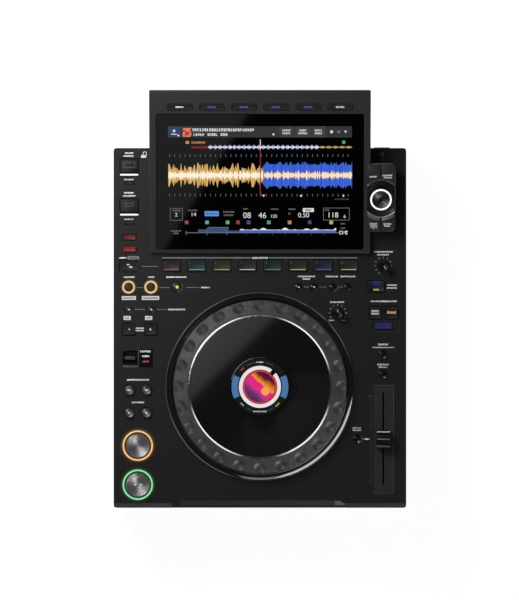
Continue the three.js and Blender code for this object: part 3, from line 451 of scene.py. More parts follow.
# Cards that only reflections see: strength, the share of light left at the top, and corners.
# One hangs over the glass, one over the jog plate, two are small sparks, two stand low in front of the bezel
cards = [("glassCard", 0.30, 1.0, [(-0.62, -0.95, 2.1), (-0.2423, -0.95, 2.1), (0.0154, -0.50, 2.1),
                                   (-0.62, -0.50, 2.1)]),
         ("plateCard", 0.75, 2.8, [
             (-0.15, -0.19, 1.22), (-0.149, -0.189, 1.22), (0.065, 0.02, 1.22), (-0.15, 0.02, 1.4)]),
         ("sparkCard", 25.0, 1.0, [
             (-0.57, 0.13, 1.3), (-0.33, 0.13, 1.3), (-0.33, 0.37, 1.3), (-0.57, 0.37, 1.3)]),
         ("counterCard", 8.0, 1.0, [
             (0.22, -0.60, 1.3), (0.40, -0.60, 1.3), (0.40, -0.42, 1.3), (0.22, -0.42, 1.3)]),
         ("edgeCard", 10.0, 0.05, [
             (0.22, -1.40, 0.37), (1.30, -0.28, 0.37), (0.93, -0.43, 0.90), (0.31, -1.04, 0.90)]),
         ("tailCard", 3.0, 0.05, [
             (-0.23, -1.40, 0.37), (0.22, -1.40, 0.37), (0.31, -1.04, 0.90), (-0.26, -1.06, 0.90)])]
cameraRise = stage["frameWidth"] * stage["lens"] / stage["sensor"]
bpy.ops.object.camera_add(location=(*stage["middle"], deck["z"] * mm + cameraRise), rotation=(0, 0, 0))
camera = bpy.context.object
camera.name = "camera"
camera.data.lens = stage["lens"]
camera.data.sensor_width = stage["sensor"]
camera.data.clip_end = stage["farClip"]
bpy.context.scene.camera = camera
bpy.context.scene.view_settings.view_transform = "Standard"

clearSelection()
bpy.ops.mesh.primitive_plane_add(size=stage["floorSize"], location=(0, 0, 0))
floor = bpy.context.object
floor.name = "floor"
floorFinish = Finish("floorFinish", Roughness=stage["floorRough"])
floorShade = floorFinish.noise(floorFinish.place(), 3, 2)
floorFinish.fill(floorFinish.shader, {"Base Color": floorFinish.mix(floorShade, *stage["floorColours"])})
seen = floorFinish.limit(floorFinish.node("LightPath", "Is Camera Ray")
                         + floorFinish.node("LightPath", "Is Glossy Ray")
                         + floorFinish.node("LightPath", "Is Transmission Ray"))
glow = floorFinish.node("Emission", 0, None, {"Strength": stage["floorGlow"]})
mixer = floorFinish.node("MixShader", 0, None, {0: seen * stage["floorLift"], 2: glow})
floorFinish.links.new(floorFinish.shader.outputs[0], mixer.socket.node.inputs[1])
floorFinish.links.new(mixer.socket, floorFinish.nodes["Material Output"].inputs["Surface"])
floor.data.materials.append(floorFinish.material)
floor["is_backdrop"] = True

world = bpy.data.worlds.new("studio")
bpy.context.scene.world = world
world.use_nodes = True
air = Finish.__new__(Finish)
air.nodes, air.links = world.node_tree.nodes, world.node_tree.links
side, deep, lift = air.parts(air.node("TexCoord", "Generated"))


def skyStep(value, start, end):
    return air.limit((value - start) / (end - start))


def skyPast(value, edge, rise):
    return air.limit((value - edge) * rise)


flat = side * side + deep * deep + 0.0001
slant = air.call("ABSOLUTE", side * deep * 2 / flat)
low = air.mix(skyStep(slant, studioSky["bandFrom"], studioSky["bandTo"]), studioSky["bandDim"],
              studioSky["band"])
high = air.mix(skyStep(lift, studioSky["overheadFrom"], studioSky["overheadTo"]), studioSky["middle"],
               studioSky["overhead"])
sky = air.mix(skyPast(lift, studioSky["bandAbove"], studioSky["bandRise"]), low, high)
# What the glass mirrors stays black
offX, offY = [skyPast(air.call("ABSOLUTE", part - aim), half, studioSky["patchRise"])
              for part, aim, half in zip((side, deep), studioSky["patchAim"], studioSky["patchHalf"])]
patch = air.limit(offX + offY + air.limit((studioSky["patchFoot"] - lift) * studioSky["patchFootRise"]))
sky = air.mix(patch, (0.0, 0.0, 0.0), sky)
direct = air.node("LightPath", "Is Camera Ray")
air.fill(air.nodes["Background"], {"Color": air.mix(direct, sky, studioSky["seen"])})

for name, place, size, power in stage["lamps"]:
    bpy.ops.object.light_add(type="AREA", location=place)
    lamp = bpy.context.object
    lamp.name = name
    lamp.data.size = size
    lamp.data.energy = power
    lamp.rotation_euler = (Vector(stage["lampAim"]) - Vector(place)).to_track_quat("-Z", "Y").to_euler()
    lamp.visible_camera = lamp.visible_glossy = False

for name, strength, topShare, corners in cards:
    clearSelection()
    bpy.ops.mesh.primitive_plane_add(size=1)
    card = bpy.context.object
    card.name = name
    # A new plane's corners run in rows, these run round
    order = [corners[0], corners[1], corners[3], corners[2]]
    for vertex, corner in zip(card.data.vertices, order):
        vertex.co = corner
    cardFinish = Finish(name + "Finish", Emission_Strength=strength, Base_Color=(0, 0, 0, 1))
    lowest, highest = corners[0][2], max(corner[2] for corner in corners)
    rise = cardFinish.parts(cardFinish.place())[2]
    part = cardFinish.limit((rise - lowest) / max(highest - lowest, mm))
    cardFinish.fill(cardFinish.shader, {"Emission Color": cardFinish.mix(part, (1, 1, 1), (topShare,) * 3)})
    card.data.materials.append(cardFinish.material)
    card.visible_camera = card.visible_diffuse = card.visible_shadow = card.visible_transmission = False
    card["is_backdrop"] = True
print("stage set")


# The frame's own solids that stay in sight
def dressNode(node, material):
    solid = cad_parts[node]
    solid.data.materials.clear()
    solid.data.materials.append(finishes.get(material, material))


# Below the case's underside the finish is the feet's rubber
caseFoot = {"top": 7.9, "grainScale": 2200, "grainDepth": 0.02, "patchScale": 20, "rough": 0.45,
            "rubberRough": 0.25}


def lowerCaseFinish():
    look, rubber = finishLooks["case"], finishLooks["rubber"]
    finish = Finish("lowerCaseFinish")
    coords = finish.place()
    across, along, up = finish.parts(coords)
    isFoot = up < caseFoot["top"] * mm
    grain = finish.noise(coords, caseFoot["grainScale"], 2)
    patches = finish.noise(coords, caseFoot["patchScale"], 3)
    plastic = finish.mix(patches, look["dark"], look["light"])
    foot = finish.mix(grain, rubber["dark"], rubber["light"])
    rough = isFoot * caseFoot["rubberRough"] + patches * mouldedBasics["roughDrift"] + caseFoot["rough"]
    finish.fill(finish.shader, {"Base Color": finish.mix(isFoot, plastic, foot), "Roughness": rough})
    finish.bump(grain, caseFoot["grainDepth"] * mm)
    return finish.material


# The deck shell's front lip is painted paler, a painted sheen of light on its slope, with painted shade where
# its scoop begins and a painted highlight where it ends
lip = {"reach": 7.9, "drop": 0.12, "foot": 71.6, "half": 163.9, "scoopAt": -91.0, "shadowFrom": -100.0,
       "shadowFade": 2.0, "shadowTo": -90.0, "highlightFrom": 84.5, "highlightTo": 95.0, "patchShare": 0.25,
       "side": (0.112, 0.112, 0.114), "middle": (0.044, 0.044, 0.045), "paintedShadow": (0.0012, 0.0012, 0.0012),
       "paintedHighlight": (0.34, 0.34, 0.345)}


def upperCaseFinish():
    look = {**mouldedBasics, **finishLooks["case"]}
    finish = Finish("upperCaseFinish", Specular_IOR_Level=look["specular"])
    tone, rough = mouldedParts(finish, look)
    across, along, up = finish.parts(finish.place())
    onLip = (up < (deck["z"] - lip["drop"]) * mm) * (up > lip["foot"] * mm)
    onLip = onLip * (along < fromFront(lip["reach"]) * mm)
    onLip = onLip * (finish.call("ABSOLUTE", across) < lip["half"] * mm)
    # Painted shade on the scoop's shaded facet, and a painted highlight on its lit facet
    inPaintedShadow = finish.limit((across - lip["shadowFrom"] * mm) / (lip["shadowFade"] * mm))
    inPaintedShadow = inPaintedShadow * (across < lip["shadowTo"] * mm)
    inPaintedHighlight = (across > lip["highlightFrom"] * mm) * (across < lip["highlightTo"] * mm)
    # The rest of the lip is painted paler as a painted sheen, lighter at the sides than in the middle
    paintedLipSheen = finish.mix(across < lip["scoopAt"] * mm, lip["middle"], lip["side"])
    paintedLipSheen = finish.mix(inPaintedHighlight, paintedLipSheen, lip["paintedHighlight"])
    paintedLipSheen = finish.mix(tone * lip["patchShare"], paintedLipSheen, lip["paintedShadow"])
    shell = finish.mix(tone, look["dark"], look["light"])
    finish.fill(finish.shader,
                {"Base Color": finish.mix(onLip, shell, finish.mix(inPaintedShadow, paintedLipSheen, lip["paintedShadow"])),
                 "Roughness": rough})
    return finish.material


glass = mouldedPlastic("glassFinish", {"dark": (0.0008, 0.0008, 0.0010), "light": (0.0012, 0.0012, 0.0014),
                                       "rough": 0.006, "roughDrift": 0.004, "grainDepth": 0.0001})
for node, material in (("lower_case", lowerCaseFinish()), ("upper_case", upperCaseFinish()),
                       ("display_housing", "housing"), ("touch_glass", glass),
                       ("jog_display", "gloss"), ("selector_shaft", "key")):
    dressNode(node, material)
print("frame dressed")


# Jog wheel: bezel, rim with dimples, polished bevel, grooved plate, window
jog = {"bezelInner": 99.55, "bezelOuter": 105.25, "bezelFoot": -1.2, "bezelEdge": 2.3, "bezelFlat": 99.9,
       "bezelSteps": 14, "leanFrom": 14, "leanTo": 41,
       "highlightLinePoints": [(105.1, -0.8), (106.0, -0.8), (106.0, 0.1), (105.85, 0.28), (105.4, 0.28),
                      (105.1, 0.15)],
       "rimOuter": 99.2, "rimShoulder": 97.2, "rimInner": 81.1, "rimTop": 11.95, "rimFall": 0.15,
       "rimFoot": -4.6, "rimUnder": 8.4, "rimRows": 30, "lipReach": 1.8, "lipFall": 0.7, "bevelInner": 78.9,
       "bevelFoot": 8.6, "plateTop": 9.8, "plateThick": 2.6, "dimples": 24, "dimpleAcross": 6.2,
       "dimpleReach": 5.9, "dimpleDepth": 2.3, "dimpleLean": -0.45, "dimpleRadius": 91.0,
       "windowRadius": 32.4, "grooves": 30,
       "grooveDepth": 0.009, "grooveShare": 0.08, "turns": 432, "roundTurns": 256}
jogMiddle = nodeMiddle("jog_wheel")
jogPlane = Matrix.Translation((jogMiddle.x, jogMiddle.y, deck["z"] * mm))


def makeBezel():
    # The top leans outward more and more, so that its outer edge shines
    steps, foot = jog["bezelSteps"], jog["bezelFoot"]
    width = (jog["bezelOuter"] - jog["bezelFlat"]) / steps
    leans = [jog["leanFrom"] + (jog["leanTo"] - jog["leanFrom"]) * step / (steps - 1)
             for step in range(steps)]
    radius, height = jog["bezelOuter"], jog["bezelEdge"]
    profile = [(jog["bezelInner"], foot), (radius, foot), (radius, height)]
    for lean in reversed(leans):
        radius, height = radius - width, height + math.tan(math.radians(lean)) * width
        profile.append((radius, height))
    profile.append((jog["bezelInner"], height - 0.4))
    return spinPiece("jogBezel", profile, jog["roundTurns"])


bezelFinish = mouldedPlastic("bezelFinish", {**finishLooks["gloss"], "specular": 1.0})
setPiece(makeBezel(), jogPlane, "case", bezelFinish)
# A pale ring round the bezel's outer edge: a painted highlight of the edge catching light all round
setPiece(spinPiece("jogBezelHighlightLine", jog["highlightLinePoints"], jog["roundTurns"]), jogPlane, "case", "dimInk")


def rimHeight(radius):
    # Rounded inner lip, then a broad face that falls outward
    onLip = max(0.0, jog["rimInner"] + jog["lipReach"] - radius) / jog["lipReach"]
    return jog["rimTop"] - jog["rimFall"] * (radius - jog["rimInner"]) - jog["lipFall"] * onLip ** 2.5


def makeRim():
    shoulder, inner, under = jog["rimShoulder"], jog["rimInner"], jog["rimUnder"]
    profile = [(inner, under), (shoulder, under), (shoulder, rimHeight(shoulder) - 0.4)]
    for step in range(jog["rimRows"] + 1):
        radius = shoulder - 0.3 - (shoulder - 0.3 - inner - 0.2) * step / jog["rimRows"]
        profile.append((radius, rimHeight(radius)))
    profile.append((inner, rimHeight(inner) - 0.25))
    rim = spinPiece("jogRim", profile, jog["turns"])
    pitch = fullTurn / jog["dimples"]
    for vertex in rim.data.vertices:
        if vertex.co.z < (under + 0.6) * mm:
            continue
        turn = math.atan2(vertex.co.y, vertex.co.x)
        offTurn = (turn + pitch / 2) % pitch - pitch / 2
        across = offTurn * jog["dimpleRadius"] / jog["dimpleAcross"]
        along = (math.hypot(vertex.co.x, vertex.co.y) / mm - jog["dimpleRadius"]) / jog["dimpleReach"]
        far = math.hypot(across, along)
        if far < 1:
            # Steep on the side of the plate, shallow toward the rim's edge
            vertex.co.z -= jog["dimpleDepth"] * mm * (1 - far ** 2) ** 0.7 * (1 + jog["dimpleLean"] * along)
    return rim


rimLook = {"dark": (0.012, 0.012, 0.0125), "light": (0.13, 0.13, 0.131), "fleck": (0.30, 0.30, 0.30),
           "fleckShare": 0.55, "metallic": 0.6, "rough": 0.36, "roughGrain": 0.2, "grainDepth": 0.06,
           "grainScale": 1300, "patchScale": 60, "fleckScale": 380}


def rimFinish():
    # Speckled satin grey, with dark pits and pale flecks
    look = rimLook
    finish = Finish("rimFinish", Metallic=look["metallic"])
    coords = finish.place()
    grain = finish.noise(coords, look["grainScale"], 4, 0.6)
    cloud = finish.noise(coords, look["patchScale"], 2)
    cells = finish.node("TexVoronoi", "Distance", {"feature": "F1"},
                        {"Vector": coords, "Scale": look["fleckScale"]})
    fleck = finish.limit((0.20 - cells) * 10)
    base = finish.mix(finish.limit(grain * 1.5 + cloud * 0.3 - 0.5), look["dark"], look["light"])
    finish.fill(finish.shader, {"Base Color": finish.mix(fleck * look["fleckShare"], base, look["fleck"]),
                                "Roughness": grain * look["roughGrain"] + look["rough"]})
    finish.bump(grain - fleck * 0.3, look["grainDepth"] * mm)
    return finish.material


setPiece(makeRim(), jogPlane, "jog_wheel", rimFinish(), ["jog_wheel"], 50)
skirtTop, skirtUnder = rimHeight(jog["rimShoulder"]) - 0.45, jog["rimUnder"] - 0.1
skirt = spinPiece("jogSkirt", [
    (jog["bevelInner"], jog["rimFoot"]), (jog["rimOuter"], jog["rimFoot"]), (jog["rimOuter"], skirtTop - 1.7),
    (jog["rimOuter"] - 0.3, skirtTop - 0.8), (jog["rimOuter"] - 1.0, skirtTop - 0.2),
    (jog["rimShoulder"], skirtTop), (jog["rimShoulder"] - 0.4, skirtUnder), (jog["bevelInner"], skirtUnder)],
    jog["roundTurns"])
setPiece(skirt, jogPlane, "jog_wheel", "gloss")

polished = spunMetal("polishedFinish", {"dark": (0.66, 0.66, 0.67), "light": (0.82, 0.82, 0.83),
                                        "rough": 0.10,
                                        "linePitch": 0.4, "slant": 0.01}, jogPlane)
bevelOuter, bevelInner, bevelFoot = jog["rimInner"], jog["bevelInner"], jog["bevelFoot"]
bevelRing = spinPiece("jogBevelRing", [
    (bevelOuter + 0.1, bevelFoot), (bevelOuter + 0.1, 11.1), (bevelOuter - 0.1, 11.25),
    (bevelOuter - 0.35, 11.15), (bevelInner + 0.4, jog["plateTop"] + 0.05),
    (bevelInner, jog["plateTop"] - 0.1), (bevelInner, bevelFoot)], jog["roundTurns"])
setPiece(bevelRing, jogPlane, "jog_wheel", polished, (), 10)


def makePlate():
    inner, outer, top = jog["windowRadius"] + 0.35, jog["bevelInner"] - 0.05, jog["plateTop"]
    foot = top - jog["plateThick"]
    profile = [(inner, foot), (outer, foot), (outer, top - 0.35), (outer - 0.3, top - 0.3),
               (outer - 0.5, top)]
    first, last = outer - 2.0, inner + 3.5
    pitch = (first - last) / jog["grooves"]
    half = pitch * jog["grooveShare"]
    for index in range(jog["grooves"]):
        radius = first - index * pitch
        profile += [(radius, top), (radius - half, top - jog["grooveDepth"]), (radius - 2 * half, top)]
    profile += [(inner + 0.5, top), (inner, top - 0.3)]
    return spinPiece("jogPlate", profile, jog["roundTurns"])


plateGloss = {**finishLooks["gloss"], "rough": 0.02, "roughDrift": 0.01}
setPiece(makePlate(), jogPlane, "jog_wheel", mouldedPlastic("plateFinish", plateGloss), (), 3)

# The window in the middle: a lit picture with a position ring
window = {"rings": [("whiteRing", 19.5, 23.6, (0.88, 0.84, 0.85)),
                    ("redRing", 16.9, 19.4, (0.52, 0.012, 0.02))],
          "points": [(0, 7.2), (32.1, 7.2), (32.1, 9.5), (31.8, 9.8), (0, 9.8)], "thick": 0.05,
          "pictureRadius": 16.8, "sideInner": 25.0, "sideOuter": 31.9, "sideSweep": 49, "sideTurns": (0, 180),
          "markInner": 18.6, "markOuter": 24.1, "markTurn": 48, "markSweep": 14,
          "thinInner": 27.7, "thinOuter": 28.0, "thinArcs": ((100, 22), (58, 22), (-122, 14), (-72, 14)),
          "blue": (0.036, 0.16, 0.385), "dim": ((0.003, 0.003, 0.0034), (0.006, 0.006, 0.0066))}
windowLow = jog["plateTop"] + 0.01
windowHigh = windowLow + window["thick"]


def discPiece(name, inner, outer, low, high, turns):
    return spinPiece(name, [(inner, low), (outer, low), (outer, high), (inner, high)], turns)


def arcPiece(name, inner, outer, low, high, start, sweep, turns=16):
    return spinPiece(name, [(inner, low), (outer, low), (outer, high), (inner, high)], turns,
                     math.radians(start), math.radians(sweep))


def windowFinish():
    finish = Finish("windowFinish", Emission_Strength=1.0)
    cloud = finish.noise(finish.place(jogPlane), 240, 2)
    finish.fill(finish.shader, {"Base Color": finish.mix(cloud, (0.002, 0.002, 0.002), (0.004, 0.004, 0.004)),
                                "Emission Color": finish.mix(cloud, *window["dim"]),
                                "Roughness": cloud * 0.02 + 0.05})
    return finish.material


# A generic picture: soft slanting bands of warm colour with a pale disc, on a dark ground
picture = {"bandAcross": 0.62, "bandAlong": 0.78, "bandWide": 17.0, "swell": 0.5, "swellScale": 70,
           "discAt": (6, -5), "discRadius": 4.6, "disc": (0.90, 0.42, 0.05), "discShare": 0.85,
           "stops": [(0.0, (0.02, 0.0, 0.02)), (1.0, (0.05, 0.0, 0.03)), (0.26, (0.13, 0.03, 0.16)),
                     (0.42, (0.75, 0.02, 0.24)), (0.60, (0.70, 0.015, 0.20)), (0.66, (0.9, 0.27, 0.02)),
                     (0.84, (0.10, 0.002, 0.02))]}
emptyScreen = (0.004, 0.004, 0.004)


def pictureFinish():
    finish = Finish("pictureFinish", Roughness=0.08, Emission_Strength=1.0, Base_Color=(*emptyScreen, 1))
    coords = finish.place(jogPlane)
    across, along, up = finish.parts(coords)
    band = (across * picture["bandAcross"] + along * picture["bandAlong"]) / (picture["bandWide"] * mm)
    band = band + finish.noise(coords, picture["swellScale"], 2) * picture["swell"]
    warm = finish.node("ValToRGB", 0, {"stops": picture["stops"]}, {0: band * 0.45 + 0.42})
    offX, offY = across - picture["discAt"][0] * mm, along - picture["discAt"][1] * mm
    disc = finish.call("SQRT", offX * offX + offY * offY) < picture["discRadius"] * mm
    finish.fill(finish.shader,
                {"Emission Color": finish.mix(disc * picture["discShare"], warm, picture["disc"])})
    return finish.material


setPiece(spinPiece("jogWindow", window["points"], 128), jogPlane, "case", windowFinish(),
         ["jog_display"])
for name, inner, outer, colour in window["rings"]:
    setPiece(discPiece(name, inner, outer, windowLow, windowHigh, 128), jogPlane, "case",
             litPlastic(name + "Finish", colour))
setPiece(discPiece("windowPicture", 0, window["pictureRadius"], windowLow, windowHigh, 96), jogPlane, "case",
         pictureFinish())
positionMark = arcPiece("positionMark", window["markInner"], window["markOuter"], windowHigh,
                        windowHigh + window["thick"], window["markTurn"] - window["markSweep"] / 2,
                        window["markSweep"], 6)
setPiece(positionMark, jogPlane, "case", "well")
sideArcs = [arcPiece("sideArc", window["sideInner"], window["sideOuter"], windowLow, windowHigh,
                     turn - window["sideSweep"] / 2, window["sideSweep"], 24) for turn in window["sideTurns"]]
setPiece(joinPieces("windowSideArcs", sideArcs), jogPlane, "case",
         litPlastic("blueArcFinish", window["blue"]))
thinArcs = [arcPiece("thinArc", window["thinInner"], window["thinOuter"], windowLow, windowHigh, start, sweep,
                     10)
            for start, sweep in window["thinArcs"]]
setPiece(joinPieces("windowThinArcs", thinArcs), jogPlane, "case", "greyInk")
print("jog made")


# Keys: one cap per family, copied to every node of the family
keyFoot = -2.6


def rectCap(name, node, look):
    width, depth, top = nodeSize(node)
    top = look.get("top", top)
    piece = slabPiece(name, width, look.get("depth", depth), keyFoot, top, look["corner"], 3)
    softenEdges(piece, look["edge"], 2)
    stepTop(piece, look["steps"], top)
    return piece


def domeCap(name, radius, top, look):
    # A turned cap: straight side, round shoulder, then a shallow dish or dome
    shoulder, crown = look["shoulder"], look["crown"]
    profile = [(0, keyFoot), (radius, keyFoot), (radius, top - shoulder - crown)]
    for step in range(1, 5):
        angle = step / 4 * math.pi / 2
        profile.append((radius - shoulder * (1 - math.cos(angle)),
                        top - crown - shoulder * (1 - math.sin(angle))))
    for step in range(1, 6):
        part = 1 - step / 6
        profile.append(((radius - shoulder) * part, top - crown * part ** 2))
    profile.append((0, top))
    return spinPiece(name, profile, 48)


def copyKeys(source, nodes, matrixOf, material):
    for node in nodes:
        finish = material[node] if isinstance(material, dict) else material
        setPiece(copyPiece(source, partName(node, "_cap")), matrixOf(node), node, finish, [node])
    dropPiece(source)


def tintedKey(name, tint, glow):
    # A dim lit face under a fine grain
    finish = Finish(name, Emission_Strength=1.0, Specular_IOR_Level=0.3)
    coords = finish.place()
    cloud = finish.noise(coords, 300, 2)
    grain = finish.noise(coords, 4000, 2)
    finish.fill(finish.shader, {"Base Color": finish.mix(grain, shaded(tint, 0.3), tint),
                                "Emission Color": finish.mix(cloud, shaded(glow, 0.55), glow),
                                "Roughness": cloud * 0.15 + 0.32})
    finish.bump(grain, 0.006 * mm)
    return finish.material


def textPiece(name, words, tall, thick=0.02):
    clearSelection()
    bpy.ops.object.text_add()
    piece = bpy.context.object
    piece.name = name
    piece.data.body = words
    piece.data.align_x, piece.data.align_y = "CENTER", "CENTER"
    piece.data.size = tall * mm
    piece.data.extrude = thick * mm
    bpy.ops.object.convert(target="MESH")
    return bpy.context.object


# Hot cue keys, left to right: the face's colour and the colour of the bar of light on it
hotCue = {"corner": 1.3, "edge": 0.22, "steps": [(0.5, 0), (0.3, -0.12)], "faceShare": 0.6, "glowShare": 0.28,
          "barTall": 0.75, "barShort": 3.0, "barAt": -4.2, "barSink": 0.25, "barRise": 0.05, "barCorner": 0.3,
          "numberAt": (-7.2, 3.1), "numberTall": 2.6, "numberSink": 0.1,
          "tints": [((0.028, 0.012, 0.014), (0.20, 0.075, 0.09)), ((0.008, 0.026, 0.031), (0.13, 0.30, 0.35)),
                    ((0.022, 0.024, 0.008), (0.30, 0.31, 0.085)), ((0.013, 0.014, 0.018), (0.56, 0.56, 0.58)),
                    ((0.007, 0.022, 0.009), (0.05, 0.23, 0.055)), ((0.019, 0.015, 0.007), (0.50, 0.44, 0.25)),
                    ((0.008, 0.011, 0.033), (0.04, 0.09, 0.21)), ((0.015, 0.015, 0.008), (0.50, 0.50, 0.19))]}
hotCueNodes = ["hot_cue_key_%d" % (index + 1) for index in range(len(hotCue["tints"]))]
hotCueFinish = {node: tintedKey(node + "Finish", shaded(face, hotCue["faceShare"]),
                                shaded(face, hotCue["glowShare"]))
                for node, (face, light) in zip(hotCueNodes, hotCue["tints"])}
copyKeys(rectCap("hotCueCap", hotCueNodes[0], hotCue), hotCueNodes, onDeck, hotCueFinish)
for index, (node, (face, light)) in enumerate(zip(hotCueNodes, hotCue["tints"])):
    width, depth, top = nodeSize(node)
    bar = slabPiece(partName(node, "_bar"), width - hotCue["barShort"], hotCue["barTall"],
                    top - hotCue["barSink"],
                    top + hotCue["barRise"], hotCue["barCorner"], 2, (0, hotCue["barAt"]))
    setPiece(bar, onDeck(node), node, litPlastic(node + "BarFinish", light))
    number = textPiece("hot_cue_number_%d" % (index + 1), str(index + 1), hotCue["numberTall"])
    number.data.transform(moved(*hotCue["numberAt"], top - hotCue["numberSink"]))
    setPiece(number, onDeck(node), node, "greyInk")
print("hot cue keys made")

plainRect = {"corner": 1.3, "edge": 0.22, "steps": [(0.5, 0), (0.3, -0.12)]}
smallRect = {"corner": 1.2, "edge": 0.2, "steps": [(0.45, 0), (0.25, -0.08)]}
for names in (["call_key"], ["beat_jump_back_key", "beat_jump_forward_key"], ["beat_sync_key", "master_key"]):
    copyKeys(rectCap("cap", names[0], plainRect), names, onDeck, "key")
redGlow = {"quantize_key": tintedKey("quantizeFinish", (0.05, 0.004, 0.004), (0.20, 0.008, 0.010)),
           "time_mode_key": tintedKey("timeModeFinish", (0.03, 0.003, 0.003), (0.085, 0.004, 0.005))}
copyKeys(rectCap("cap", "quantize_key", smallRect), ["quantize_key", "time_mode_key"], onDeck, redGlow)
copyKeys(rectCap("cap", "key_sync_key", smallRect), ["key_sync_key"], onDeck,
         tintedKey("keySyncFinish", (0.006, 0.007, 0.03), (0.010, 0.012, 0.085)))

jogMode = {"dark": (0.005, 0.005, 0.007), "light": (0.008, 0.008, 0.011), "glow": (0.015, 0.024, 0.145),
           "fadeLong": 8.0, "fadeWide": 6.5}


def jogModeFinish():
    # Blue at the rear, dark toward the front, as in a key lit from its rear edge
    finish = Finish("jogModeFinish", Emission_Strength=1.0, Roughness=0.3, Specular_IOR_Level=0.25)
    coords = finish.place(onDeck("jog_mode_key"))
    across, along, up = finish.parts(coords)
    cloud = finish.noise(coords, 260, 2)
    rear = finish.limit(along / (jogMode["fadeLong"] * mm) + 0.15)
    side = finish.limit(1.25 - finish.call("ABSOLUTE", across) / (jogMode["fadeWide"] * mm))
    lit = finish.limit(rear * side * (cloud + 0.5))
    finish.fill(finish.shader, {"Base Color": finish.mix(cloud, jogMode["dark"], jogMode["light"]),
                                "Emission Color": finish.mix(lit, (0.0, 0.0, 0.0), jogMode["glow"])})
    return finish.material


copyKeys(rectCap("cap", "jog_mode_key", plainRect), ["jog_mode_key"], onDeck, jogModeFinish())

# Big transport keys: a lit ring, a dark groove that glows dimly with the ring's painted light, and a turned
# metal cap
bigKey = {"turns": 96, "metal": {"dark": (0.20, 0.197, 0.198), "light": (0.42, 0.408, 0.408), "rough": 0.22,
                                 "linePitch": 0.31, "slant": 0.5},
          "groove": [(0, -2.8), (17.0, -2.8), (17.0, 1.5), (15.2, 1.5), (15.1, 1.1), (13.4, 1.0), (13.3, 0.6),
                     (0, 0.6)],
          "ring": [(15.25, 1.2), (17.1, 1.2), (17.1, 2.0), (16.75, 2.35), (15.6, 2.35), (15.25, 2.0)],
          "cap": [(0, 0.4), (13.2, 0.4), (13.2, 2.15), (12.95, 2.5), (12.5, 2.58), (6, 2.5), (0, 2.45)],
          "keys": [("cue_key", (1.0, 0.62, 0.27), (0.055, 0.017, 0.0)),
                   ("play_key", (0.30, 0.86, 0.42), (0.0, 0.045, 0.008))],
          "markLow": 2.4, "markHigh": 2.58, "cueMarkHigh": 2.56,
          "cueBars": ((-2.9, 1.5), (-0.2, 1.5), (2.5, 1.5)), "cueBarTall": 1.9, "cueBarCorner": 0.2,
          "pauseBars": (2.4, 4.1), "pauseSize": (0.9, 2.8), "wedgeAt": -3.0, "wedgeReach": 1.7}
sources = {part: spinPiece(part + "Source", bigKey[part], bigKey["turns"])
           for part in ("groove", "ring", "cap")}
for node, glowColour, paintedGrooveGlow in bigKey["keys"]:
    stem = partName(node, "")
    place = onDeck(node)
    # The groove's dim glow is painted light from the ring, not a lamp of its own
    setPiece(copyPiece(sources["groove"], stem + "_groove"), place, node,
             litPlastic(stem + "GrooveFinish", paintedGrooveGlow, (0.006, 0.006, 0.006)), [node])
    setPiece(copyPiece(sources["ring"], stem + "_ring"), place, node,
             litPlastic(stem + "RingFinish", glowColour))
    setPiece(copyPiece(sources["cap"], stem + "_cap"), place, node,
             spunMetal(stem + "CapFinish", bigKey["metal"], place))
for source in sources.values():
    dropPiece(source)


def prismPiece(name, sides, reach, low, high, middle, turn=0.0):
    clearSelection()
    bpy.ops.mesh.primitive_cylinder_add(vertices=sides, radius=reach * mm, depth=(high - low) * mm,
                                        location=(middle[0] * mm, middle[1] * mm, (low + high) / 2 * mm),
                                        rotation=(0, 0, math.radians(turn)))
    bpy.context.object.name = name
    bpy.ops.object.transform_apply(location=True, rotation=True, scale=True)
    return bpy.context.object


markLow, markHigh = bigKey["markLow"], bigKey["markHigh"]
playMarks = [prismPiece("playMark", 3, bigKey["wedgeReach"], markLow, markHigh, (bigKey["wedgeAt"], 0), -90)]
for across in bigKey["pauseBars"]:
    playMarks.append(slabPiece("pauseBar", *bigKey["pauseSize"], markLow, markHigh, 0, 1, (across, 0)))
setPiece(joinPieces("playPauseMark", playMarks), onDeck("play_key"), "play_key",
         litPlastic("playMarkFinish", (0.75, 0.75, 0.75)))
cueMarks = [slabPiece("cueMark", width, bigKey["cueBarTall"], markLow, bigKey["cueMarkHigh"],
                      bigKey["cueBarCorner"], 1, (across, 0)) for across, width in bigKey["cueBars"]]
setPiece(joinPieces("cueKeyMark", cueMarks), onDeck("cue_key"), "cue_key", "greyInk")
print("transport keys made")

# Round keys: the loop keys' floor and ring, and plain turned caps
loopKey = {"turns": 64, "ring": [(5.15, 0.9), (7.25, 0.9), (7.25, 1.8), (6.9, 2.2), (5.5, 2.2), (5.15, 1.9)],
           "floor": [(0, -2.6), (7.2, -2.6), (7.2, 1.0), (5.2, 1.0), (4.7, 1.5), (3.4, 1.8), (0, 1.9)]}
loopKeys = ["loop_in_key", "loop_out_key"]
loopCore = tintedKey("loopCoreFinish", (0.014, 0.009, 0.004), (0.024, 0.011, 0.002))
loopGlow = litPlastic("loopRingFinish", (0.86, 0.60, 0.23))
loopFloor = spinPiece("loopFloor", loopKey["floor"], loopKey["turns"])
loopRing = spinPiece("loopRing", loopKey["ring"], loopKey["turns"])
for node in loopKeys:
    setPiece(copyPiece(loopRing, partName(node, "_ring")), onDeck(node), node, loopGlow)
dropPiece(loopRing)
copyKeys(loopFloor, loopKeys, onDeck, loopCore)

smallRound = {"shoulder": 0.7, "crown": 0.35}
broadRound = {"shoulder": 1.2, "crown": 0.9}
oliveGloss = mouldedPlastic("oliveFinish", {"dark": (0.010, 0.010, 0.005), "light": (0.017, 0.016, 0.008),
                                            "rough": 0.22})
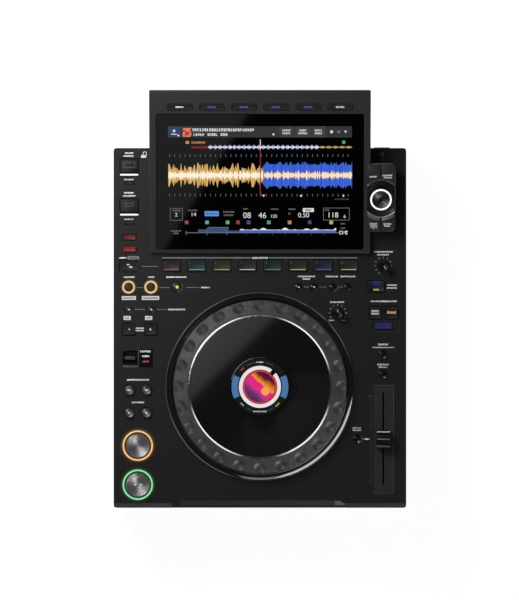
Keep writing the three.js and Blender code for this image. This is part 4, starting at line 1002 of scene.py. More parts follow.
# Radius, top, look, finish and nodes of each family
roundKeys = [(4.2, 1.8, smallRound, "gloss",
              ["cue_call_back_key", "cue_call_forward_key", "delete_key", "memory_key"]),
             (4.8, 1.8, smallRound, "gloss",
              ["master_tempo_key", "tempo_range_key", "tempo_reset_key"]),
             (5.0, 2.4, broadRound, oliveGloss, ["beat_loop_back_key", "beat_loop_forward_key"]),
             (5.8, 2.4, {**broadRound, "crown": 0.8}, oliveGloss, ["reloop_key"])]
for radius, top, look, finish, nodes in roundKeys:
    copyKeys(domeCap("cap", radius, top, look), nodes, onDeck, finish)

searchKey = {"turns": 56, "metal": {"dark": (0.07, 0.07, 0.07), "light": (0.25, 0.246, 0.246), "rough": 0.22,
                                    "linePitch": 0.23, "slant": 0.6},
             "skirt": [(0, -2.6), (6.2, -2.6), (6.2, 1.7), (5.9, 2.0), (5.2, 2.0), (5.0, 1.6), (0, 1.6)],
             "cap": [(0, 1.5), (5.0, 1.5), (5.0, 2.6), (4.75, 2.92), (4.3, 3.0), (0, 2.9)]}
searchSkirt = spinPiece("searchSkirt", searchKey["skirt"], searchKey["turns"])
searchCap = spinPiece("searchCap", searchKey["cap"], searchKey["turns"])
for node in ("track_search_back_key", "track_search_forward_key", "search_back_key", "search_forward_key"):
    place = onDeck(node)
    setPiece(copyPiece(searchSkirt, partName(node, "_skirt")), place, node, "key", [node])
    setPiece(copyPiece(searchCap, partName(node, "_cap")), place, node,
             spunMetal(partName(node, "Finish"), searchKey["metal"], place))
dropPiece(searchSkirt)
dropPiece(searchCap)
print("round keys made")

# Display keys on the slope
displayKey = {"count": 6, "up": 166.3, "corner": 1.2, "edge": 0.18, "steps": [(0.45, 0), (0.25, -0.1)],
              "top": 0.7,
              "depth": 7.1}
displayKeys = ["display_key_%d" % (index + 1) for index in range(displayKey["count"])]


def onDisplayKey(node):
    return onSlope(nodeMiddle(node).x / mm, displayKey["up"])


copyKeys(rectCap("cap", displayKeys[0], displayKey), displayKeys, onDisplayKey, "key")
print("display keys made")

# Knobs with flutes up the side and a pale pointer on top
knob = {"nodes": ["vinyl_speed_knob", "jog_feel_knob"], "turns": 72, "flutes": 18, "fluteDepth": 0.28,
        "fluteFrom": 2.6, "fluteTo": 9.0, "fluteRadius": 4.7,
        "points": [(0, -4.9), (2.9, -4.9), (2.9, 0.5), (6.2, 0.5), (6.2, 1.6), (5.5, 2.4), (5.1, 8.4),
                   (4.8, 9.2),
                   (4.2, 9.5), (3.2, 9.3), (0, 9.2)],
        "pointerSize": (3.2, 0.6), "pointerLow": 9.05, "pointerHigh": 9.48, "pointerAt": 2.5,
        "pointerTurn": {"vinyl_speed_knob": -48, "jog_feel_knob": 90}}


def makeKnob():
    piece = spinPiece("knobSource", knob["points"], knob["turns"])
    for vertex in piece.data.vertices:
        radius = math.hypot(vertex.co.x, vertex.co.y)
        if knob["fluteFrom"] * mm < vertex.co.z < knob["fluteTo"] * mm and radius > knob["fluteRadius"] * mm:
            turn = math.atan2(vertex.co.y, vertex.co.x)
            dent = max(0.0, math.cos(turn * knob["flutes"])) * knob["fluteDepth"] * mm
            vertex.co.x -= dent * math.cos(turn)
            vertex.co.y -= dent * math.sin(turn)
    return piece


copyKeys(makeKnob(), knob["nodes"], onDeck, "gloss")
for node, turn in knob["pointerTurn"].items():
    pointer = slabPiece(node.replace("_knob", "_pointer"), *knob["pointerSize"], knob["pointerLow"],
                        knob["pointerHigh"], 0.15, 2, (knob["pointerAt"], 0))
    setPiece(pointer, onDeck(node) @ Matrix.Rotation(math.radians(turn), 4, "Z"), node, "whiteInk")
print("knobs made")

# Tempo fader: a stepped grip of a tall centre ridge between two lower shoulders, each with a hollow
fader = {"width": 17.0, "depth": 19.3, "low": 1.2, "high": 5.6, "corner": 0.8, "edge": 0.28,
         "cuts": (-6.6, -3.6, -1.5, 1.5, 3.6, 6.6),
         "lifts": ((-1.5, 1.5, 3.9), (1.5, 3.6, 1.6), (-3.6, -1.5, 1.6), (6.6, 20, 2.2), (-20, -6.6, 2.2)),
         "stem": (1.1, 5, -4.9, 1.4, 0.3), "stripeShort": 2.4, "stripeSink": 0.25, "stripeRise": 0.03,
         "stripes": [("tempo_slider_light", 8.2, 1.1, 7.83, "whiteInk"),
                     ("tempo_slider_line", 0.0, 0.9, 9.5, "greyInk"),
                     ("tempo_slider_shade", -8.2, 1.4, 7.83, "dimInk")],
         "plateNear": 16.7, "plateFar": 137.7, "plateLeft": 127.7, "plateRight": 150.0, "plateThick": 0.35,
         "plateCorner": 1.2, "plateEdge": 0.15, "slotAt": 138.6, "slotWidth": 2.0, "slotLength": 104,
         "slotMiddle": 78, "slotCorner": 0.6, "edgeHighlightWidth": 0.4, "tickAt": 124.8, "tickNear": 29.7,
         "tickFar": 125.4, "ticks": 31, "tickTall": 0.4, "tickOver": 0.35,
         "tickReach": (2.4, 1.5, 0.7)}


def makeFaderCap():
    piece = slabPiece("tempo_slider_grip", fader["width"], fader["depth"], fader["low"], fader["high"],
                      fader["corner"], 3)
    enterEdit("FACE")
    for cut in fader["cuts"]:
        bpy.ops.mesh.select_all(action="SELECT")
        bpy.ops.mesh.bisect(plane_co=(0, cut * mm, 0), plane_no=(0, 1, 0))
    for near, far, lift in fader["lifts"]:
        pickFaces(piece, lambda face: face.normal.z > 0.9
                  and near * mm < face.calc_center_median().y < far * mm
                  and abs(face.calc_center_median().z - fader["high"] * mm) < 0.1 * mm)
        bpy.ops.mesh.extrude_region_move(TRANSFORM_OT_translate={"value": (0, 0, lift * mm)})
    leaveEdit()
    softenEdges(piece, fader["edge"], 2, 40)
    return piece


def setOnFader(piece, finish, replaced=()):
    setPiece(piece, onDeck("tempo_slider_cap"), "tempo_slider_cap", finish, replaced)


setOnFader(makeFaderCap(), "case", ["tempo_slider_cap"])
setOnFader(slabPiece("tempo_slider_stem", *fader["stem"], 2), "well")
for name, along, depth, top, ink in fader["stripes"]:
    setOnFader(slabPiece(name, fader["width"] - fader["stripeShort"], depth, top - fader["stripeSink"],
                         top + fader["stripeRise"], 0.2, 2, (0, along)), ink)
print("fader made")

# Selector pod on the slope: four corner keys, a dish and a turned knob
pod = {"across": 135.4, "up": 63.1, "halfWidth": 15.4, "halfLength": 37.7, "corner": 5.9, "split": 0.55,
       "keyCircle": 21.95, "keyFoot": 0.9, "keyTop": 2.4, "keyEdge": 0.3, "dishSide": 15.35, "bandInset": 0.4,
       "keys": [("back_key", -1, 1), ("tag_key", 1, 1), ("shortcut_key_1", -1, -1),
                ("shortcut_key_2", 1, -1)],
       "bandInner": 22.2, "bandOuter": 25.3, "bandSink": 0.3, "bandRise": 0.04,
       "edgeHighlights": [("shortcut_key_1", 207, 60, "dimInk"), ("shortcut_key_2", 273, 58, "greyInk")],
       "dish": [(12.2, 0.9), (21.2, 0.9), (21.2, 3.0), (20.6, 3.1), (12.2, 1.52)],
       "dishEdge": [(21.0, 2.6), (21.85, 2.6), (21.85, 2.75), (21.3, 3.15), (21.0, 3.15)]}
podPlane = onSlope(pod["across"], pod["up"])


def trimPiece(piece, middle, normal):
    # Cuts away what lies behind a plane, and closes the cut
    clearSelection()
    bpy.context.view_layer.objects.active = piece
    piece.select_set(True)
    enterEdit("FACE")
    bpy.ops.mesh.select_all(action="SELECT")
    bpy.ops.mesh.bisect(plane_co=[part * mm for part in middle], plane_no=normal, use_fill=True,
                        clear_inner=True)
    leaveEdit()


def trimSides(piece, half):
    trimPiece(piece, (half, 0, 0), (-1, 0, 0))
    trimPiece(piece, (-half, 0, 0), (1, 0, 0))


def cutPiece(piece, cutter):
    applyModifier(piece, "BOOLEAN", object=cutter, operation="DIFFERENCE")
    dropPiece(cutter)


def makePodKey(name, sideX, sideY):
    piece = slabPiece(name, 2 * pod["halfWidth"], 2 * pod["halfLength"], pod["keyFoot"], pod["keyTop"],
                      pod["corner"], 6)
    trimPiece(piece, (sideX * pod["split"], 0, 0), (sideX, 0, 0))
    trimPiece(piece, (0, 0, 0), (0, sideY, 0))
    cutPiece(piece, discPiece("cutter", 0, pod["keyCircle"], -5, 9, 128))
    softenEdges(piece, pod["keyEdge"], 2, 40)
    return piece


for node, sideX, sideY in pod["keys"]:
    setPiece(makePodKey(partName(node, "_cap"), sideX, sideY), podPlane, node, "housing",
             [node])
# Pale arcs on the lower keys' inner edges by the dish: painted highlights where those edges catch light
for node, start, sweep, ink in pod["edgeHighlights"]:
    band = arcPiece(partName(node, "_band"), pod["bandInner"], pod["bandOuter"],
                    pod["keyTop"] - pod["bandSink"],
                    pod["keyTop"] + pod["bandRise"], start, sweep, 12)
    trimSides(band, pod["dishSide"] - pod["bandInset"])
    setPiece(band, podPlane, node, ink)

dish = spinPiece("selectorDish", pod["dish"], 96)
dishEdge = spinPiece("selectorDishEdge", pod["dishEdge"], 128)
for piece in (dish, dishEdge):
    trimSides(piece, pod["dishSide"])
dishMetal = {"dark": (0.016, 0.016, 0.016), "light": (0.055, 0.055, 0.055), "rough": 0.2, "linePitch": 0.35,
             "slant": 0.5}
dishEdgeMetal = {**dishMetal, "light": (0.7, 0.7, 0.7), "slant": 0.05}
setPiece(dish, podPlane, "case", spunMetal("dishFinish", dishMetal, podPlane), (), 20)
setPiece(dishEdge, podPlane, "case", spunMetal("dishEdgeFinish", dishEdgeMetal, podPlane), (),
         10)

selector = {"body": [(0, 2.8), (11.6, 2.8), (11.9, 3.2), (11.9, 10.7), (11.6, 11.1), (0, 11.1)],
            "ring": [(10.1, 10.9), (12.0, 10.9), (12.0, 11.25), (11.6, 11.6), (10.6, 11.6), (10.1, 11.2)],
            "top": [(0, 10.9), (10.15, 10.9), (10.15, 11.2), (9.7, 11.35), (5, 11.15), (0, 11.05)],
            "turns": 96, "fluteFrom": 3.5, "fluteTo": 10.9, "fluteShare": 0.012,
            "paintedRingGlow": (0.92, 0.92, 0.93), "ringBody": (0.4, 0.4, 0.4)}
selectorBody, selectorRing, selectorTop = [spinPiece("selector_" + part, selector[part], selector["turns"])
                                           for part in ("body", "ring", "top")]
for vertex in selectorBody.data.vertices:
    # Fine grip flutes up the side
    if selector["fluteFrom"] * mm < vertex.co.z < selector["fluteTo"] * mm:
        turn = math.atan2(vertex.co.y, vertex.co.x)
        vertex.co.xy *= 1 - selector["fluteShare"] * (round(turn * selector["turns"] / fullTurn) % 2)
setPiece(selectorBody, podPlane, "selector_knob", "gloss", ["selector_knob"])
# The ring glows white: a painted highlight on its bright ring, which is no lamp
setPiece(selectorRing, podPlane, "selector_knob",
         litPlastic("selectorRingFinish", selector["paintedRingGlow"], selector["ringBody"]))
selectorMetal = {**dishMetal, "light": (0.09, 0.09, 0.09), "slant": 0.6}
setPiece(selectorTop, podPlane, "selector_knob", spunMetal("selectorTopFinish", selectorMetal, podPlane))
print("pod made")


def framePiece(name, width, depth, band, low, high, corner=0.3, middle=(0, 0)):
    # A flat outline: a slab whose middle is taken out
    piece = slabPiece(name, width, depth, low, high, corner, 3, middle)
    enterEdit("FACE")
    pickFaces(piece, lambda face: abs(face.normal.z) > 0.9)
    bpy.ops.mesh.inset(thickness=band * mm, depth=0, use_individual=True)
    bpy.ops.mesh.bridge_edge_loops()
    leaveEdit()
    return piece


def layOnDeck(name, pieces, finish):
    # Pieces at their place on the plan, joined to one on the case
    setPiece(joinPieces(name, pieces), deckPlane, "case", finish)


# Port lids with a groove and a faint socket sign, their light bars, and the small bars below them
port = {"width": 19.9, "depth": 14.8, "thick": 1.6, "corner": 0.8, "edge": 0.25, "grooveFar": -4.6,
        "grooveNear": -5.3, "grooveDepth": 0.7, "iconBand": 0.55, "iconAt": (0, 1.2),
        "icons": {"port_lid_1": (13.0, 6.5), "port_lid_2": (9.5, 3.8)},
        "barsAt": -146.9, "light": (20.4, 1.7, -0.4, 0.12, 0.8), "lightAt": (374.6, 329.7),
        "lightColour": (0.93, 0.93, 0.95), "lightBody": (0.3, 0.3, 0.3),
        "stop": (10.4, 3.2, -0.5, 0.55, 1.2), "stopAt": (365.2, 320.0), "stopEdge": 0.2}


def makeLid(name):
    piece = slabPiece(name, port["width"], port["depth"], -port["thick"], 0.0, port["corner"], 3)
    softenEdges(piece, port["edge"], 2)
    enterEdit("FACE")
    for cut in (port["grooveFar"], port["grooveNear"]):
        bpy.ops.mesh.select_all(action="SELECT")
        bpy.ops.mesh.bisect(plane_co=(0, cut * mm, 0), plane_no=(0, 1, 0))
    pickFaces(piece, lambda face: face.normal.z > 0.9
              and port["grooveNear"] * mm < face.calc_center_median().y < port["grooveFar"] * mm)
    bpy.ops.mesh.extrude_region_move(TRANSFORM_OT_translate={"value": (0, 0, -port["grooveDepth"] * mm)})
    leaveEdit()
    return piece


for node, size in port["icons"].items():
    setPiece(makeLid(node + "_cover"), onDeck(node), node, "case", [node])
    icon = framePiece(node + "_icon", *size, port["iconBand"], -0.1, 0.03, 0.3, port["iconAt"])
    setPiece(icon, onDeck(node), node, "dimInk")
portBars = [slabPiece("portBar", *port["light"], 4, (port["barsAt"], fromFront(far)))
            for far in port["lightAt"]]
layOnDeck("portLightBars", portBars, litPlastic("portLightFinish", port["lightColour"], port["lightBody"]))
stopBars = [slabPiece("stopBar", *port["stop"], 4, (port["barsAt"], fromFront(far)))
            for far in port["stopAt"]]
for bar in stopBars:
    softenEdges(bar, port["stopEdge"], 2)
layOnDeck("stopBars", stopBars, "well")

# Direction lever: a waisted blade on a hub, with ribs across its top, in a dark label box
lever = {"blade": (12.4, 4.0), "foot": -4.0, "top": 6.2, "corner": 0.6, "edge": 0.35, "waistUnder": 3,
         "waistShare": 0.7, "hub": 2.9, "hubLength": 15.6, "hubDown": 6, "hubEdge": 0.3,
         "ribs": (-1.2, 0.0, 1.2), "ribSize": (10.8, 0.55), "labelBox": (15.4, 20.4, -128.0, 168.4),
         "trim": [(16.4, 2.3, -145.8, 159.2), (0.5, 22.6, -136.5, 169.4)]}
blade = slabPiece("direction_lever_blade", *lever["blade"], lever["foot"], lever["top"], lever["corner"], 3)
softenEdges(blade, lever["edge"], 2)
for vertex in blade.data.vertices:
    if vertex.co.z < lever["waistUnder"] * mm:
        vertex.co.y *= lever["waistShare"]
clearSelection()
bpy.ops.mesh.primitive_cylinder_add(vertices=40, radius=lever["hub"] * mm, depth=lever["hubLength"] * mm,
                                    location=(0, 0, -lever["hubDown"] * mm), rotation=(0, math.pi / 2, 0))
hub = bpy.context.object
bpy.ops.object.transform_apply(location=True, rotation=True, scale=True)
softenEdges(hub, lever["hubEdge"], 2, 60)
setPiece(joinPieces("direction_lever_blade", [blade, hub]), onDeck("direction_lever"), "direction_lever",
         "key", ["direction_lever"])
ribs = [slabPiece("rib", *lever["ribSize"], lever["top"] - 0.2, lever["top"] + 0.25, 0.15, 2, (0, along))
        for along in lever["ribs"]]
setPiece(joinPieces("direction_lever_ribs", ribs), onDeck("direction_lever"), "direction_lever",
         "dimInk")
width, depth, across, far = lever["labelBox"]
labelBox = slabPiece("leverLabelBox", width, depth, -0.1, 0.08, 0.6, 3, (across, fromFront(far)))
setPiece(labelBox, deckPlane, "case", "well")
leverTrim = [slabPiece("leverTrim", width, depth, -0.1, 0.1, 0.2, 2, (across, fromFront(far)))
             for width, depth, across, far in lever["trim"]]
layOnDeck("leverTrim", leverTrim, "dimInk")
print("lids and lever made")

# Tempo fader's plate with its slot, and the scale beside it
plate = slabPiece("tempoPlate", fader["plateRight"] - fader["plateLeft"],
                  fader["plateFar"] - fader["plateNear"],
                  -0.2, fader["plateThick"], fader["plateCorner"], 4,
                  ((fader["plateLeft"] + fader["plateRight"]) / 2,
                   fromFront((fader["plateNear"] + fader["plateFar"]) / 2)))
softenEdges(plate, fader["plateEdge"], 1)
cutPiece(plate, slabPiece("cutter", fader["slotWidth"], fader["slotLength"], -1, 1, fader["slotCorner"], 3,
                          (fader["slotAt"], fromFront(fader["slotMiddle"]))))
setPiece(plate, deckPlane, "case", "housing")
ticks = []
for index in range(fader["ticks"]):
    far = fader["tickNear"] + (fader["tickFar"] - fader["tickNear"]) * index / (fader["ticks"] - 1)
    longest, middling, shortest = fader["tickReach"]
    reach = longest if index % 15 == 0 else middling if index % 5 == 0 else shortest
    ticks.append(slabPiece("tick", reach, fader["tickTall"], -0.1, 0.04, 0, 1,
                           (fader["tickAt"] - reach / 2 + fader["tickOver"], fromFront(far))))
layOnDeck("tempoScale", ticks, "greyInk")
print("fader plate made")

# Power key in the rear face, with a plain dished front
power = {"width": 18, "tall": 9, "low": 0.5, "high": 3.9, "corner": 1.5, "edge": 0.4,
         "steps": [(0.9, 0), (0.5, -0.3)]}
powerCap = slabPiece("power_cap", power["width"], power["tall"], power["low"], power["high"], power["corner"],
                     3)
softenEdges(powerCap, power["edge"], 2)
stepTop(powerCap, power["steps"], power["high"])
powerMiddle, powerFront = nodeMiddle("power_key"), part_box("power_key")[0].y
quarterTurn = math.pi / 2
powerPlace = Matrix.Translation((powerMiddle.x, powerFront, powerMiddle.z))
for axis in "ZYZ":
    powerPlace = powerPlace @ Matrix.Rotation(quarterTurn, 4, axis)
setPiece(powerCap, powerPlace, "power_key", "gloss", ["power_key"])

# Dark bands on the deck round the keys and lids: painted shade of the gaps round them
gapShade = {"gap": 0.2, "band": 0.75, "low": -0.2, "high": 0.07, "keyCorner": 1.6, "lidCorner": 0.85,
          "keys": hotCueNodes + ["call_key", "beat_jump_back_key", "beat_jump_forward_key", "beat_sync_key",
                                 "master_key", "jog_mode_key", "quantize_key", "time_mode_key"]}
gapShades = []
for node in gapShade["keys"] + list(port["icons"]):
    width, depth, top = nodeSize(node)
    around = 2 * (gapShade["gap"] + gapShade["band"])
    corner = gapShade["lidCorner"] if node in port["icons"] else gapShade["keyCorner"]
    gapShades.append(framePiece("frame", width + around, depth + around, gapShade["band"], gapShade["low"],
                              gapShade["high"], corner, nodeMiddle(node).xy / mm))
layOnDeck("keyGapShade", gapShades, "well")


def glowFinish(name, place, inner, outer, colour):
    # The case's own plastic with light that fades away from the ring
    look = finishLooks["case"]
    finish = Finish(name, Emission_Strength=1.0, Specular_IOR_Level=look["specular"])
    across, along, up = finish.parts(finish.place(place))
    patches = finish.noise(finish.place(), mouldedBasics["patchScale"], 3)
    reach = finish.call("SQRT", across * across + along * along)
    part = finish.limit((outer * mm - reach) / ((outer - inner) * mm))
    finish.fill(finish.shader, {"Base Color": finish.mix(patches, look["dark"], look["light"]),
                                "Roughness": patches * mouldedBasics["roughDrift"] + look["rough"],
                                "Emission Color": finish.mix(part * part, (0.0, 0.0, 0.0), colour)})
    return finish.material


# The glow that lit rings throw on the deck: node, where it starts and ends, and its colour
glows = [("cue_key", 17.4, 21.2, (0.12, 0.042, 0.006)), ("play_key", 17.4, 21.2, (0.007, 0.07, 0.018)),
         ("loop_in_key", 7.5, 9.8, (0.10, 0.05, 0.010)), ("loop_out_key", 7.5, 9.8, (0.10, 0.05, 0.010))]
for node, inner, outer, colour in glows:
    halo = spinPiece(partName(node, "Glow"), [(inner, -0.15), (outer, -0.15), (outer, 0.02), (inner, 0.03)],
                     64)
    setPiece(halo, onDeck(node), "case", glowFinish(node + "GlowFinish", onDeck(node), inner, outer, colour))
print("frames and glow made")

# Printed rows: cells of ink with chance gaps, which look like small print and spell nothing
labelInk = mouldedPlastic("labelInkFinish", {**greys(0.72, 0.92, 0.01), "rough": 0.55, "specular": 0.2,
                                             "grainDepth": 0.002})
printLook = {"rows": 5, "letterShare": 0.8, "thick": 0.03, "keep": 0.66, "low": -0.1, "high": 0.04}


def inkRow(left, right, along, tall, rise):
    letters = max(2, round((right - left) / (printLook["letterShare"] * tall)))
    columns = 4 * letters - 1
    clearSelection()
    bpy.ops.mesh.primitive_grid_add(x_subdivisions=columns, y_subdivisions=printLook["rows"], size=1,
                                    location=((left + right) / 2 * mm, along * mm, rise * mm))
    row = bpy.context.object
    row.scale = ((right - left) * mm, tall * mm, 1)
    bpy.ops.object.transform_apply(location=True, rotation=True, scale=True)
    enterEdit("FACE")
    cell = (right - left) / columns

    def isGap(face):
        column = int((face.calc_center_median().x / mm - left) / cell)
        return column % 4 == 3 or (column % 4 and chance.random() > printLook["keep"])

    pickFaces(row, isGap)
    bpy.ops.mesh.delete(type="FACE")
    bpy.ops.mesh.select_all(action="SELECT")
    bpy.ops.mesh.extrude_region_move(TRANSFORM_OT_translate={"value": (0, 0, printLook["thick"] * mm)})
    leaveEdit()
    return row


def printRows(name, rows, place, body, material, rise):
    # Rows of (left, right, along, tall) joined to one piece of print
    setPiece(joinPieces(name, [inkRow(*row, rise) for row in rows]), place, body, material)


def printBars(name, bars, place, material, low, high, corner):
    # Plain bars of (left, right, near, far)
    made = [slabPiece("bar", right - left, far - near, low, high, corner, 2,
                      ((left + right) / 2, (near + far) / 2))
            for left, right, near, far in bars]
    setPiece(joinPieces(name, made), place, "case", material)


def deckRows(name, rows, material, rise):
    printRows(name, [(left, right, fromFront(far), tall) for left, right, far, tall in rows], deckPlane,
              "case",
              material, rise)


# Rows on the deck: left, right, distance from the front edge, height
deckRows("deckPrint", [
    (-151.6, -142.3, 399.0, 1.7), (-153.3, -141.7, 395.7, 1.5), (-152.2, -142.3, 369.1, 1.4),
    (-152.2, -142.3, 324.4, 1.4), (-152.8, -142.0, 354.3, 1.7), (-154.0, -140.0, 350.8, 1.5),
    (-158.0, -150.2, 281.0, 1.5), (-153.2, -141.1, 259.5, 1.6), (-126.0, -118.8, 259.5, 1.6),
    (-105.2, -82.9, 259.5, 1.6), (-66.0, -55.8, 247.8, 1.6), (-103.3, -83.9, 223.1, 1.8),
    (-139.6, -130.4, 202.0, 1.5), (-139.6, -130.4, 199.4, 1.5), (-8.8, 8.8, 281.1, 1.8),
    (-149.5, -124.4, 144.0, 1.7), (-144.0, -130.4, 118.7, 1.7), (42.4, 61.8, 260.2, 1.6),
    (48.0, 56.2, 257.2, 1.6), (74.0, 87.5, 260.2, 1.6), (90.7, 106.9, 260.2, 1.6), (79.0, 94.5, 231.4, 1.7),
    (77.4, 82.7, 210.9, 1.2), (91.2, 96.6, 210.9, 1.2), (128.1, 149.4, 287.9, 1.6),
    (132.0, 145.0, 284.6, 1.6), (142.8, 154.0, 250.4, 1.6), (142.8, 154.0, 247.2, 1.6),
    (124.6, 153.8, 232.3, 1.6),
    (133.0, 144.6, 183.8, 1.9), (126.2, 151.0, 180.4, 1.2), (132.0, 145.0, 161.2, 1.7),
    (133.6, 143.4, 158.2, 1.5), (104.3, 113.3, 90.0, 1.6), (104.3, 113.3, 87.4, 1.5)], labelInk, 0.02)

# Bars and pale boxes on the deck: ink, top, corner, and boxes of left, right, near and far
paleBoxes = [(-155.4, -139.4, 233.8, 238.2), (-132.7, -113.3, 233.8, 238.2), (-153.2, -145.2, 211.3, 215.8),
             (-129.2, -121.0, 211.3, 215.8)]
greyBoxes = [(-148.7, -135.9, 279.2, 283.0)]
lidShade = {"left": -157.2, "right": -136.6, "nears": (376.0, 331.1), "depth": 1.5}
lineHalf = 0.28
thinLines = [(-132.9, -114.4, 271.6), (-138.4, -131.8, 247.8), (-113.2, -101.6, 247.8), (-82.5, -67.5, 247.8),
             (-141.0, -129.2, 223.1), (-116.0, -105.0, 223.1), (49.2, 55.6, 248.4), (66.4, 74.8, 248.4),
             (89.6, 93.4, 248.4)]
left, near, far = fader["plateLeft"], fader["plateNear"], fader["plateFar"]
right, rim = fader["plateRight"], fader["edgeHighlightWidth"]
deckBars = {
    "lidShade": ("well", 0.08, 0.2, [(lidShade["left"], lidShade["right"], at, at + lidShade["depth"])
                                               for at in lidShade["nears"]]),
    # Painted highlights on the tempo plate's right, rear and front edges, where light catches them; the left
    # edge stays dark
    "tempoPlateEdgeHighlights": ("dimInk", 0.3, 0, [(right, right + rim, near, far),
                                                     (left, right + rim, far, far + rim),
                                                     (left, right + rim, near - rim, near)]),
    "paleBoxes": ("whiteInk", 0.04, 0.5, paleBoxes), "greyBox": ("greyInk", 0.04, 0.5, greyBoxes),
    "thinLines": ("greyInk", 0.03, 0, [(start, end, at - lineHalf, at + lineHalf)
                                                 for start, end, at in thinLines]),
    "padLines": ("greyInk", 0.03, 0, [(-110.0, -10.2, 280.5, 281.7), (10.1, 109.9, 280.5, 281.7)]),
    "faderCentreMark": (labelInk, 0.04, 0.15, [(118.0, 122.8, 76.7, 78.1), (116.0, 116.9, 77.0, 77.8)]),
}
for name, (ink, high, corner, boxes) in deckBars.items():
    printBars(name, [(left, right, fromFront(near), fromFront(far)) for left, right, near, far in boxes],
              deckPlane, ink, printLook["low"], high, corner)
# Dark rows in the pale boxes
boxPrint = {"inset": 1.6, "tall": 1.8}
deckRows("boxPrint",
         [(left + boxPrint["inset"], right - boxPrint["inset"], (near + far) / 2, boxPrint["tall"])
          for left, right, near, far in paleBoxes + greyBoxes], "darkInk", 0.03)

# An outline round the key sync key, a latch sign, and the power sign's ring
signs = {"outline": (34.3, 13.5, 0.35), "outlineAt": (139.75, 204.5), "latch": (5.6, 3.2),
         "latchAt": (-130.8, 395.2), "shackle": (4.2, 5.4, 0.7), "shackleAt": (-129.4, 397.8),
         "ring": (1.45, 2.1),
         "ringAt": (137, 397.6)}
signLow, signHigh = printLook["low"], printLook["high"]


def signSpot(name):
    across, far = signs[name]
    return across, fromFront(far)


setPiece(framePiece("keySyncOutline", *signs["outline"], signLow, signHigh, 1.6, signSpot("outlineAt")),
         deckPlane,
         "case", "darkInk")
bolt = [slabPiece("latch", *signs["latch"], signLow, signHigh, 0.5, 3, signSpot("latchAt")),
        framePiece("shackle", *signs["shackle"], signLow, signHigh, 1.2, signSpot("shackleAt"))]
layOnDeck("latchMark", bolt, "whiteInk")
setPiece(discPiece("powerMark", *signs["ring"], signLow, signHigh, 32),
         deckPlane @ moved(*signSpot("ringAt")),
         "case", "greyInk")

# Ticks round the two knobs
knobTick = {"count": 11, "start": -60, "step": 30, "size": (1.5, 0.45), "reach": 9.3}
ticks = []
for node in knob["nodes"]:
    middle = nodeMiddle(node) / mm
    for index in range(knobTick["count"]):
        tick = slabPiece("tick", *knobTick["size"], signLow, signHigh, 0, 1, (knobTick["reach"], 0))
        turn = math.radians(knobTick["start"] + knobTick["step"] * index)
        tick.data.transform(moved(middle.x, middle.y) @ Matrix.Rotation(turn, 4, "Z"))
        ticks.append(tick)
layOnDeck("knobTicks", ticks, "whiteInk")

# Thin arcs and edges beside keys, painted highlights where their lower right edges catch light: node, inner,
# outer, start, sweep
highlightArcs = [("reloop_key", 6.5, 6.95, -75, 100), ("delete_key", 5.2, 5.7, -75, 90),
        ("tempo_reset_key", 5.3, 5.8, -90, 120)]
for node, inner, outer, start, sweep in highlightArcs:
    arc = arcPiece(partName(node, "Arc"), inner, outer, -0.1, 0.06, start, sweep, 18)
    setPiece(arc, onDeck(node), "case", "greyInk")
# The call key's right and front edges: a painted highlight
callEdgeHighlight = {"gap": 0.2, "wide": 0.5, "high": 0.09}
low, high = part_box("call_key")
left, front = [part / mm - callEdgeHighlight["gap"] for part in low.xy]
right, rear = [part / mm + callEdgeHighlight["gap"] for part in high.xy]
outer = right + callEdgeHighlight["wide"]
printBars("callKeyEdge", [(right, outer, front, rear), (left, outer, front - callEdgeHighlight["wide"], front)],
          deckPlane,
          "dimInk", printLook["low"], callEdgeHighlight["high"], 0)


# Marks on keys: rows, dots or wedges that stand in the key's own top
markSink = 0.14


def onTop(node):
    return nodeSize(node)[2] - markSink


markInk = {name: litPlastic(name + "MarkFinish", colour) for name, colour in {
    "amber": (1.0, 0.42, 0.05), "pink": (0.48, 0.14, 0.15), "blue": (0.05, 0.12, 0.60),
    "yellow": (0.95, 0.72, 0.16), "red": (0.62, 0.05, 0.08)}.items()}
keyRows = [("beat_sync_key", labelInk, [(-4.2, 4.2, 2.0, 1.9), (-4.2, 4.2, -1.0, 1.9)]),
           ("master_key", markInk["amber"], [(-4.8, 4.8, 0.3, 2.6)]),
           ("key_sync_key", markInk["blue"], [(-7.0, 7.0, 0, 2.4)]),
           ("quantize_key", markInk["pink"], [(-4.6, 4.6, 0, 2.0)]),
           ("time_mode_key", markInk["pink"], [(-4.8, 4.8, 0, 1.7)]),
           ("jog_mode_key", markInk["yellow"], [(-3.0, 3.0, -3.6, 1.4)]),
           ("call_key", labelInk, [(-2.4, 0.2, 1.3, 1.3), (0.2, 3.2, -1.4, 1.5)])]
for node, ink, rows in keyRows:
    printRows(partName(node, "_print"), rows, onDeck(node), node, ink, onTop(node))
dot = {"low": 0.02, "high": 0.18, "sides": 20, "edge": 0.05}
dots = [("beat_jump_back_key", 0.8, 0.9, labelInk), ("beat_jump_forward_key", -0.5, 0.9, labelInk),
        ("cue_call_back_key", 0, 0.8, labelInk), ("cue_call_forward_key", 0, 0.8, labelInk),
        ("reloop_key", 1.0, 1.7, markInk["yellow"]), ("beat_loop_back_key", 0.8, 0.8, labelInk),
        ("beat_loop_forward_key", 0.8, 0.8, labelInk)]
for node, across, reach, ink in dots:
    piece = prismPiece(partName(node, "_dot"), dot["sides"], reach, onTop(node) + dot["low"],
                       onTop(node) + dot["high"], (across, 0))
    softenEdges(piece, dot["edge"], 1)
    setPiece(piece, onDeck(node), node, ink)
